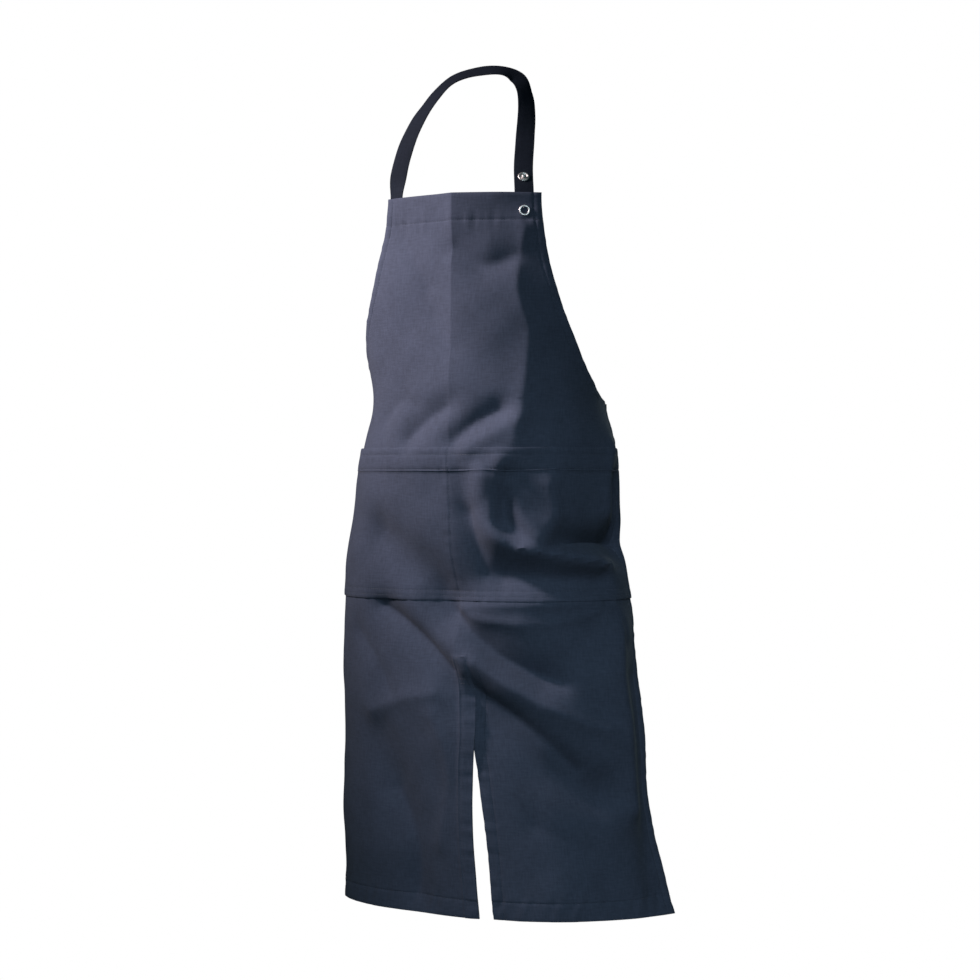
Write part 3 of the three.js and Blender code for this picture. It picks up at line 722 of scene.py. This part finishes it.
def pocket_front(across, down):
    """How far the pocket's front stands off the body's, with its band, seams and puckers."""
    edge = HALF_WIDTH - np.abs(across)
    band = HEM_TURNING * (down < POCKET_DROP + POCKET_BAND - HEM_STEP / 3)
    out = pocket_gap(across, down) + CLOTH_THICKNESS + band * smooth(edge / BAND_EASE)
    for stitch, depth in POCKET_STITCHES:
        out -= depth * GROOVE_DEPTH * bump_at(down - stitch, GROOVE)
    out -= GROOVE_DEPTH * bump_at(edge - SIDE_STITCH, GROOVE)
    out -= MIDDLE_GROOVE_DEPTH * bump_at(across, 1.5 * GROOVE)
    low_puckers = POCKET_LOW_PUCKERS[0] + ripple(across, *POCKET_LOW_PUCKERS)
    out += low_puckers * bump_at(down - POCKET_END, POCKET_LOW_REACH)
    out += ripple(across, *BAND_PUCKERS) * bump_at(down - BAND_STITCH, BAND_REACH)
    out += ripple(down, *MIDDLE_PUCKERS) * bump_at(across, MIDDLE_REACH)
    out -= RIM_DROP * smooth(1 - (POCKET_END - down) / PRESSED_RUN)
    rim = (np.abs(down - POCKET_DROP) < PROBE / 2) | (np.abs(down - POCKET_END) < PROBE / 2)
    return out - RIM_DROP * rim


pocket_rows = between(
    [
        POCKET_DROP,
        POCKET_DROP + EDGE_ROUNDING,
        *sewn(MOUTH_STITCH),
        *sewn(BAND_STITCH),
        POCKET_DROP + POCKET_BAND - HEM_STEP / 2,
        POCKET_DROP + POCKET_BAND,
        *sewn(HIGH_STITCH),
        *sewn(LOW_STITCH),
        POCKET_END - EDGE_ROUNDING,
        POCKET_END,
    ]
)
pocket_right, pocket_left = columns(pocket_rows)
pocket_across = np.hstack([pocket_right, pocket_left[:, 1:]])
pocket_down = np.repeat(pocket_rows[:, None], pocket_across.shape[1], axis=1)
pocket_places = (pocket_across, pocket_down)
pocket_cloth = closed_wall(
    "pocket_cloth",
    off_cloth(*pocket_places, 0, pocket_front(*pocket_places)).reshape(-1, 3),
    off_cloth(*pocket_places, 0, pocket_gap(*pocket_places)).reshape(-1, 3),
    strip_cells(np.arange(pocket_across.size).reshape(pocket_across.shape)),
    np.stack([pocket_across, -pocket_down], axis=-1).reshape(-1, 2),
)
pocket_cloth.data.materials.append(twill)
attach(pocket_cloth, "root")
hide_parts("front_pocket")

# The stitching is navy polyester thread, in lockstitch of about 3.4 mm, seen on both faces of
# the cloth: along every hem, twice along the pocket's bottom, and in a tack over the slit.
STITCH_PITCH = 0.0034
THREAD_WIDTH = 0.00055
THREAD_HEIGHT = 0.0003
STITCH_RINGS = ((0.07, 0.5, -0.4), (0.5, 1.0, 0.35), (0.93, 0.5, -0.4))
# The thread's colour is its own navy, darkened below the twill's to paint the shade that falls in
# the stitched lines.
THREAD_BLUE_AND_PAINTED_SHADE = (0.05, 0.06, 0.096)
END_IN = 0.002
thread = finish("navy_thread_and_painted_shade", THREAD_BLUE_AND_PAINTED_SHADE, 0.62, sheen=0.1)[0]


def holes(path):
    """The needle's holes along a path over the flat cloth."""
    path = np.asarray(path, float)
    gone = np.concatenate([[0], np.cumsum(np.linalg.norm(np.diff(path, axis=0), axis=1))])
    at = np.linspace(0, gone[-1], max(2, round(gone[-1] / STITCH_PITCH) + 1))
    return np.stack([np.interp(at, gone, path[:, 0]), np.interp(at, gone, path[:, 1])], axis=-1)


def sewn_thread(name, runs):
    """One piece of all the stitches between holes, each a short raised loop with closed ends."""
    stitches, faces = [], []
    for places, normals in runs:
        a, b = places[:-1], places[1:]
        along = b - a
        up = normals[:-1] + normals[1:]
        up /= np.linalg.norm(up, axis=1, keepdims=True)
        aside = np.cross(up, along)
        aside *= THREAD_WIDTH / 2 / np.linalg.norm(aside, axis=1, keepdims=True)
        up = up * THREAD_HEIGHT
        corners = []
        for share, wide, raised in STITCH_RINGS:
            middle = a + along * share + up * raised
            corners += [middle - aside * wide, middle + up * wide]
            corners += [middle + aside * wide, middle - up * wide]
        stitches.append(np.stack(corners, axis=1))
    stitches = np.concatenate(stitches)
    for first in range(0, 12 * len(stitches), 12):
        faces.append((first + 3, first + 2, first + 1, first))
        faces.append((first + 8, first + 9, first + 10, first + 11))
        for ring in (first, first + 4):
            for i in range(4):
                j = (i + 1) % 4
                faces.append((ring + i, ring + j, ring + 4 + j, ring + 4 + i))
    made = mesh_piece(name, stitches.reshape(-1, 3), faces, angle=80)
    made.data.materials.append(thread)
    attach(made, "root")
    return made


def on_body(path, side, out):
    """A run of holes on the body, with the way its outside faces there."""
    across, down = holes(path).T
    side = np.full_like(across, side)
    return off_cloth(across, down, side, out(across, down, side)), cloth_normal(across, down, side)


def on_inside(path, side):
    places, normals = on_body(path, side, lambda across, down, _: -body_wall(across, down))
    return places, -normals


def full_row(down):
    """A row of stitching over the whole width."""
    return [(-HALF_WIDTH + END_IN, down), (HALF_WIDTH - END_IN, down)], 0


armhole = EDGE_PATH[:-1]
inward = np.stack([-np.gradient(armhole[:, 1]), np.gradient(armhole[:, 0])], axis=-1)
inward /= np.linalg.norm(inward, axis=1, keepdims=True)
armhole_line = armhole + inward * SIDE_STITCH
side_in = HALF_WIDTH - SIDE_STITCH
armhole_line = armhole_line[(armhole_line[:, 0] < side_in) & (armhole_line[:, 1] > 0)]
top_in = float(half_width(TOP_STITCH)) - END_IN
hem_end = APRON_LENGTH - END_IN
box_right, box_left = -0.0002, SLIT_FROM_CREASE - END_IN
BOX_LOW = TACK_DROP + 0.034
BOX_ROWS = (TACK_DROP + END_IN / 2, BOX_LOW - 0.006, BOX_LOW)
front_runs = [
    ([(-top_in, TOP_STITCH), (top_in, TOP_STITCH)], 1),
    ([(-HALF_WIDTH + END_IN, LOW_LINE), (SLIT_FROM_CREASE - END_IN, LOW_LINE)], -1),
    ([(SLIT_FROM_CREASE + END_IN, LOW_LINE), (HALF_WIDTH - END_IN, LOW_LINE)], 1),
    ([(0, TACK_DROP), (0, hem_end)], -1),
    ([(SLIT_LINE, SLIT_DROP - SLIT_HEM), (SLIT_LINE, hem_end)], 1),
    *(([(box_right, down), (box_left, down)], -1) for down in BOX_ROWS),
]
for sign in (-1, 1):
    curve = armhole_line * (sign, 1)
    front_runs += [
        (np.vstack([curve, [sign * side_in, curve[-1, 1]], [sign * side_in, POCKET_DROP]]), sign),
        ([(sign * side_in, POCKET_END), (sign * side_in, hem_end)], sign),
    ]
through = [
    full_row(HIGH_STITCH),
    full_row(LOW_STITCH),
    ([(0, POCKET_DROP + END_IN / 2), (0, POCKET_END - END_IN / 2)], 0),
    *(([(at, POCKET_DROP), (at, POCKET_END)], math.copysign(1, at)) for at in (-side_in, side_in)),
]
mouth = [full_row(MOUTH_STITCH), full_row(BAND_STITCH)]
body_thread = sewn_thread(
    "body_stitching",
    [on_body(path, side, body_relief) for path, side in front_runs]
    + [on_inside(path, side) for path, side in front_runs + through],
)
pocket_thread = sewn_thread(
    "pocket_stitching",
    [on_body(path, side, lambda a, d, _: pocket_front(a, d)) for path, side in through + mouth],
)

# The neck strap is a flat band of the same dark twill, folded and sewn along both edges. Its
# right end is sewn inside the bib's corner and its left end is snapped inside the other one.
STRAP_WIDTH = 0.024
STRAP_THICKNESS = 0.002
SEWN_STRAP_INSET = 0.0005
SNAPPED_STRAP_INSET = 0.009
STRAP_TAIL = 0.036
SEWN_STRAP_CLEARANCE = 0.0011
SOCKET_HEIGHT = 0.0024
SNAP_PLAY = 0.0006
BAND_STEP = 0.0028
BAND_SEAM = 0.0024
BAND_SEAM_WIDTH = 0.0008
BAND_RIPPLE = 0.0002
BAND_RIPPLE_RUN = 0.0065
# The bands' colour is a darker navy than the twill's, darkened further to paint the shade on the
# strap.
DARK_NAVY_AND_PAINTED_SHADE = (0.0115, 0.015, 0.025)

# The strap's free way: the end that each station is measured to, its place in shares aside,
# ahead and down from the nape to it, and how far its face turns and tips, in degrees
STRAP_STATIONS = [
    ("right", 0.995, 0.95, 0.83, -2, 4),
    ("right", 0.895, 0.88, 0.59, -8, 10),
    ("right", 0.745, 0.7, 0.35, -18, 22),
    ("right", 0.52, 0.27, 0.09, -15, 40),
    ("right", 0.0, 0.0, 0.03, 5, 52),
    ("left", 0.24, -0.1, 0.08, 28, 50),
    ("left", 0.44, 0.0, 0.2, 62, 32),
    ("left", 0.57, 0.16, 0.34, 50, 16),
    ("left", 0.745, 0.52, 0.59, 34, 4),
    ("left", 0.885, 0.82, 0.82, 32, 2),
]
SEWN_ACROSS = HALF_BIB - SEWN_STRAP_INSET - STRAP_WIDTH / 2
SNAPPED_ACROSS = HALF_BIB - SNAPPED_STRAP_INSET - STRAP_WIDTH / 2


def smooth_course(points, shares):
    """Places on a curve through points, which keeps close to them where they are uneven."""
    p = np.asarray(points, float)
    p = np.vstack([2 * p[0] - p[1], p, 2 * p[-1] - p[-2]])
    out = []
    for x in np.asarray(shares) * (len(p) - 3):
        i = min(int(x), len(p) - 4)
        t = x - i
        a, b, c, d = p[i : i + 4]
        ab, bc, cd = (math.sqrt(max(np.linalg.norm(v), 1e-9)) for v in (b - a, c - b, d - c))
        start = ((b - a) / ab - (c - a) / (ab + bc) + (c - b) / bc) * bc
        end = ((c - b) / bc - (d - b) / (bc + cd) + (d - c) / cd) * bc
        bend = (3 * (c - b) - 2 * start - end) * t**2 + (2 * (b - c) + start + end) * t**3
        out.append(b + start * t + bend)
    return np.array(out)


def band_course(stations, step=BAND_STEP):
    """A flat band's middles, its outer faces' ways and its breadth ways, at even steps."""
    places, faces = (np.array(part) for part in zip(*stations))
    fine = np.linspace(0, 1, 1200)
    gone = np.linalg.norm(np.diff(smooth_course(places, fine), axis=0), axis=1)
    gone = np.concatenate([[0], np.cumsum(gone)])
    at = np.linspace(0, gone[-1], max(3, round(gone[-1] / step) + 1))
    shares = np.interp(at, gone, fine)
    middles = smooth_course(places, shares)
    tangents = np.gradient(middles, axis=0)
    tangents /= np.linalg.norm(tangents, axis=1, keepdims=True)
    out = smooth_course(faces, shares)
    out -= tangents * np.sum(out * tangents, axis=1, keepdims=True)
    out /= np.linalg.norm(out, axis=1, keepdims=True)
    return at, middles, out, np.cross(out, tangents)


def inside_station(across, down, clearance, thickness):
    """A band's station on the inside of the body cloth."""
    place = (across, down, math.copysign(1, across))
    depth = CLOTH_THICKNESS + HEM_TURNING + clearance + thickness / 2
    return off_cloth(*place, -depth), cloth_normal(*place)


def face_outward():
    """Turns all faces of the piece that is selected outward."""
    bpy.ops.object.mode_set(mode="EDIT")
    bpy.ops.mesh.select_all(action="SELECT")
    bpy.ops.mesh.normals_make_consistent(inside=False)
    bpy.ops.object.mode_set(mode="OBJECT")


def band(name, course, width, thickness):
    """A sewn band with thin rounded edges, a seam near each edge and slight ripples along it."""
    at, middles, out, aside = course
    half = [-0.5, -0.49, -0.46, -0.5 + BAND_SEAM / width, -0.5 + 1.7 * BAND_SEAM / width, -0.12]
    shares = np.array(half + [-share for share in reversed(half)])
    from_seam = (0.5 - np.abs(shares)) * width - BAND_SEAM
    full = (1 - (2 * np.abs(shares)) ** 10) ** 0.5 * 0.82 + 0.18
    full -= 0.22 * bump_at(from_seam, BAND_SEAM_WIDTH)
    rings = []
    for face, row in ((1, shares), (-1, shares[::-1])):
        wave = BAND_RIPPLE * np.sin(at[:, None] / BAND_RIPPLE_RUN + 9 * row) * np.abs(2 * row) ** 3
        offset = face * full * thickness / 2 + wave
        across = aside[:, None] * (row * width)[:, None]
        rings.append(middles[:, None] + across + out[:, None] * offset[..., None])
    ring = np.concatenate(rings, axis=1)
    numbers = np.arange(ring.size // 3).reshape(ring.shape[:2])
    closed = np.hstack([numbers, numbers[:, :1]])
    faces = [tuple(cell) for cell in strip_cells(closed).tolist()]
    faces += [tuple(numbers[0]), tuple(numbers[-1][::-1])]
    flat_across = np.concatenate([shares, shares[::-1]]) * width
    flat = np.stack(np.broadcast_arrays(flat_across, at[:, None]), axis=-1)
    made = mesh_piece(name, ring.reshape(-1, 3), faces, flat.reshape(-1, 2), angle=40)
    face_outward()
    return made


strap_tail = (STRAP_TAIL, STRAP_TAIL / 2, 0)
left_gap = SOCKET_HEIGHT + 2 * SNAP_PLAY
right_ends, left_ends = (
    [inside_station(across, down, gap, STRAP_THICKNESS) for down in strap_tail]
    for across, gap in ((-SEWN_ACROSS, SEWN_STRAP_CLEARANCE), (SNAPPED_ACROSS, left_gap))
)
strap_free = []
for half, aside, ahead_share, drop, turn, tip in STRAP_STATIONS:
    end = (right_ends if half == "right" else left_ends)[-1][0]
    turn, tip = math.radians(turn), math.radians(tip)
    at = (aside * end[0], ahead_share * end[1], STRAP_THICKNESS / 2 + drop * end[2])
    face = (math.sin(turn) * math.cos(tip), -math.cos(turn) * math.cos(tip), math.sin(tip))
    strap_free.append((np.array(at), np.array(face)))
strap_course = band_course([*right_ends, *strap_free, *left_ends[::-1]])
strap_length = float(strap_course[0][-1])
strap = band("strap_webbing", strap_course, STRAP_WIDTH, STRAP_THICKNESS)
# The bands' finish carries the painted shade in its darkened navy.
webbing, webbing_shader, web = finish("navy_band_and_painted_shade", DARK_NAVY_AND_PAINTED_SHADE, 0.85)
webbing_shader.inputs["Specular IOR Level"].default_value = 0.1
weave(web, webbing_shader, DARK_NAVY_AND_PAINTED_SHADE)
strap.data.materials.append(webbing)
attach(strap, "root")
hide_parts("neck_strap")

# The waist ties are narrower bands, sewn inside the side edges just below the armholes. They
# are pulled round to the back and tied in one knot there, from which their tails hang.
TIE_WIDTH = 0.022
TIE_THICKNESS = 0.0016
TIE_DROP = ARMHOLE_DROP + 0.014
TIE_LAP = 0.011
TIE_TAIL = 0.15
TIE_TAIL_SPREAD = 0.034
TIE_TAIL_BULGE = 0.006
WAIST_BACK = 0.1
KNOT_WIDTH = 0.026
KNOT_HEIGHT = 0.03
KNOT_DEPTH = 0.013

# A tie's places in shares of its way: aside from the middle, and back to the knot
TIE_STATIONS = [(0.96, 0.3), (0.76, 0.7), (0.44, 0.94), (0, 1)]
knot_place = np.array([0, WAIST_BACK, -NECK_DROP - TIE_DROP])
for side_name, sign in (("right", -1), ("left", 1)):
    on_cloth = [
        inside_station(sign * across, TIE_DROP, POCKET_STAND_OFF, TIE_THICKNESS)
        for across in (HALF_WIDTH - TIE_LAP, HALF_WIDTH)
    ]
    edge = on_cloth[1][0]
    ways = []
    for aside, back in TIE_STATIONS:
        at = edge + (knot_place - edge) * back
        at[0] = aside * edge[0]
        ways.append((at, np.array([at[0], at[1], 0]) / math.hypot(at[0], at[1])))
    ways[-1][0][0] = sign * KNOT_WIDTH * 0.4
    tie_course = band_course([*on_cloth, *ways])
    tie = band(f"tie_{side_name}", tie_course, TIE_WIDTH, TIE_THICKNESS)
    behind = sign * (TIE_THICKNESS / 2 + POCKET_STAND_OFF)
    top = knot_place + (sign * KNOT_WIDTH / 4, behind, -KNOT_HEIGHT / 2)
    top[2] += KNOT_WIDTH / 4 * TIE_TAIL_SPREAD / TIE_TAIL + KNOT_HEIGHT / 6
    end = top + (sign * TIE_TAIL_SPREAD, 0, -TIE_TAIL - KNOT_HEIGHT / 6)
    middle = (top + end) / 2 + (0, TIE_TAIL_BULGE, 0)
    tail_course = band_course([(at, np.array([0.0, 1.0, 0.0])) for at in (top, middle, end)])
    tail = band(f"tail_{side_name}", tail_course, TIE_WIDTH, TIE_THICKNESS)
    for made, node, course, held, rests in (
        (tie, f"waist_tie_{side_name}", tie_course, "stretched", [apron_cloth]),
        (tail, f"tie_tail_{side_name}", tail_course, "hung", ["tie_knot_band"]),
    ):
        made.data.materials.append(webbing)
        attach(made, "root")
        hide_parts(node)

# The knot is the two ties wound through each other: a closed loop with three lobes
KNOT_TURNS = np.linspace(0, 2 * math.pi, 97)[:-1]
KNOT_BAND = (0.0062, 0.0026)
KNOT_CUT_STEPS = (0.004, 0.0016)
loop = np.stack(
    [
        (np.sin(KNOT_TURNS) + 2 * np.sin(2 * KNOT_TURNS)) / 3 * (KNOT_WIDTH / 2 - KNOT_BAND[1]),
        np.sin(3 * KNOT_TURNS) * (KNOT_DEPTH / 2 - KNOT_BAND[1]),
        (np.cos(KNOT_TURNS) - 2 * np.cos(2 * KNOT_TURNS)) / 3 * (KNOT_HEIGHT / 2 - KNOT_BAND[1]),
    ],
    axis=-1,
)
loop_way = np.roll(loop, -1, axis=0) - np.roll(loop, 1, axis=0)
loop_way /= np.linalg.norm(loop_way, axis=1, keepdims=True)
loop_out = loop / np.linalg.norm(loop, axis=1, keepdims=True)
loop_out -= loop_way * np.sum(loop_out * loop_way, axis=1, keepdims=True)
loop_out /= np.linalg.norm(loop_out, axis=1, keepdims=True)
loop_aside = np.cross(loop_out, loop_way)
round_turns = np.linspace(0, 2 * math.pi, 15)[:-1]
knot_points = (
    knot_place
    + loop[:, None]
    + loop_aside[:, None] * (np.cos(round_turns) * KNOT_BAND[0])[None, :, None]
    + loop_out[:, None] * (np.sin(round_turns) * KNOT_BAND[1])[None, :, None]
)
knot_numbers = np.arange(knot_points.size // 3).reshape(knot_points.shape[:2])
knot_numbers = np.pad(knot_numbers, ((0, 1), (0, 1)), mode="wrap")
knot_cut = (round_turns * KNOT_CUT_STEPS[0], np.arange(96)[:, None] * KNOT_CUT_STEPS[1])
knot_flat = np.stack(np.broadcast_arrays(*knot_cut), axis=-1)
knot = mesh_piece(
    "tie_knot_band",
    knot_points.reshape(-1, 3),
    [tuple(cell) for cell in strip_cells(knot_numbers).tolist()],
    knot_flat.reshape(-1, 2),
)
face_outward()
knot.data.materials.append(webbing)
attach(knot, "root")
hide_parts("tie_knot")

# The press studs are pressed from nickel-plated brass: an open ring on the bib with its socket
# inside, and on the strap a ring for each stud and the upper stud with its ball.
RING_RADIUS = 0.007
RING_HOLE_RADIUS = 0.0044
RING_HEIGHT = 0.0012
BALL_RADIUS = 0.0024
BALL_HEIGHT = 0.003
SOCKET_RADIUS = 0.0058
STUD_DROP = 0.023
STUD_SPACING = 0.048
SEAT = 0.0003
TURN_STEPS = 48
RING_PROFILE = [
    (RING_RADIUS, 0.0),
    (RING_RADIUS, 0.0005),
    (RING_RADIUS - 0.0002, 0.0009),
    (RING_RADIUS - 0.0006, 0.00115),
    (RING_RADIUS - 0.0011, RING_HEIGHT),
    (RING_HOLE_RADIUS + 0.0009, RING_HEIGHT),
    (RING_HOLE_RADIUS + 0.0004, 0.00105),
    (RING_HOLE_RADIUS + 0.0001, 0.0007),
]
OPEN_RING = RING_PROFILE + [(RING_HOLE_RADIUS, 0.0)]
CLOSED_STUD = RING_PROFILE + [
    (RING_HOLE_RADIUS - 0.0001, 0.0005),
    (BALL_RADIUS + 0.0007, 0.0004),
    (BALL_RADIUS - 0.0004, 0.0007),
    (BALL_RADIUS - 0.0003, 0.0012),
    (BALL_RADIUS, 0.0018),
    (BALL_RADIUS - 0.0002, 0.0023),
    (BALL_RADIUS - 0.0008, 0.0028),
    (BALL_RADIUS - 0.0016, BALL_HEIGHT),
]
SOCKET_PROFILE = [
    (SOCKET_RADIUS - 0.0003, 0.0),
    (SOCKET_RADIUS, 0.0003),
    (SOCKET_RADIUS, 0.0009),
    (SOCKET_RADIUS - 0.0006, 0.0013),
    (SOCKET_RADIUS - 0.0016, 0.0015),
    (SOCKET_RADIUS - 0.0019, 0.0021),
    (SOCKET_RADIUS - 0.0024, SOCKET_HEIGHT),
    (SOCKET_RADIUS - 0.0034, SOCKET_HEIGHT),
    (SOCKET_RADIUS - 0.0037, 0.0016),
]
nickel, nickel_shader, plate = finish("nickel_plate", (0.84, 0.78, 0.77), 0.22, metallic=1.0)
on_plate = plate.node("ShaderNodeTexCoord", out="Object")
worn = plate.node("ShaderNodeTexNoise", None, {"Vector": on_plate, "Scale": 700.0, "Detail": 3.0})
(worn * 0.25 + 0.3).to(nickel_shader, "Roughness")


def turned_piece(name, node, profile, open_hole, place, direction, lift):
    """Raises a round piece ring by ring from a circle, closes it and sets it on its place."""
    bpy.ops.object.select_all(action="DESELECT")
    radius, height = profile[0]
    fill = "NOTHING" if open_hole else "NGON"
    bpy.ops.mesh.primitive_circle_add(vertices=TURN_STEPS, radius=radius, fill_type=fill)
    made = bpy.context.object
    made.name = name
    bpy.ops.object.mode_set(mode="EDIT")
    bpy.ops.mesh.select_all(action="SELECT")
    for wider, higher in profile[1:]:
        move = {"value": (0, 0, higher - height)}
        if open_hole:
            bpy.ops.mesh.extrude_edges_move(TRANSFORM_OT_translate=move)
        else:
            bpy.ops.mesh.extrude_region_move(TRANSFORM_OT_translate=move)
        share = wider / radius
        bpy.ops.transform.resize(value=(share, share, 1), center_override=(0, 0, higher))
        radius, height = wider, higher
    if open_hole:
        bpy.ops.mesh.select_all(action="DESELECT")
        bpy.ops.mesh.select_mode(type="EDGE")
        bpy.ops.mesh.select_non_manifold(extend=False)
        bpy.ops.mesh.bridge_edge_loops()
    face_outward()
    direction = Vector(direction).normalized()
    turn = Vector((0, 0, 1)).rotation_difference(direction).to_matrix().to_4x4()
    made.data.transform(Matrix.Translation(Vector(place) + direction * lift) @ turn)
    bpy.ops.object.shade_smooth_by_angle(angle=math.radians(45))
    made.data.materials.append(nickel)
    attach(made, "root")
    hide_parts(node)


bib_spot = (SNAPPED_ACROSS, STUD_DROP, 1)
bib_at = (cloth_place(*bib_spot), cloth_normal(*bib_spot))
bib_lift = float(body_relief(*bib_spot)) + SEAT / 2
inside_lift = -CLOTH_THICKNESS - HEM_TURNING - SNAP_PLAY - SOCKET_HEIGHT
turned_piece("bib_ring", "bib_stud_ring", OPEN_RING, True, *bib_at, bib_lift)
turned_piece("bib_socket", "bib_stud_socket", SOCKET_PROFILE, False, *bib_at, inside_lift)
at, middles, out, _ = strap_course
strap_lift = STRAP_THICKNESS / 2 + SEAT / 2
for name, higher in (("lower", 0), ("upper", STUD_SPACING)):
    stud_at = strap_length - (STRAP_TAIL - STUD_DROP + higher)
    place, face = (
        np.array([np.interp(stud_at, at, part[:, k]) for k in range(3)]) for part in (middles, out)
    )
    ring_node = f"strap_{name}_ring"
    turned_piece(f"{name}_back_ring", ring_node, OPEN_RING, True, place, -face, strap_lift)
turned_piece("strap_stud", "strap_upper_stud", CLOSED_STUD, False, place, face, strap_lift)
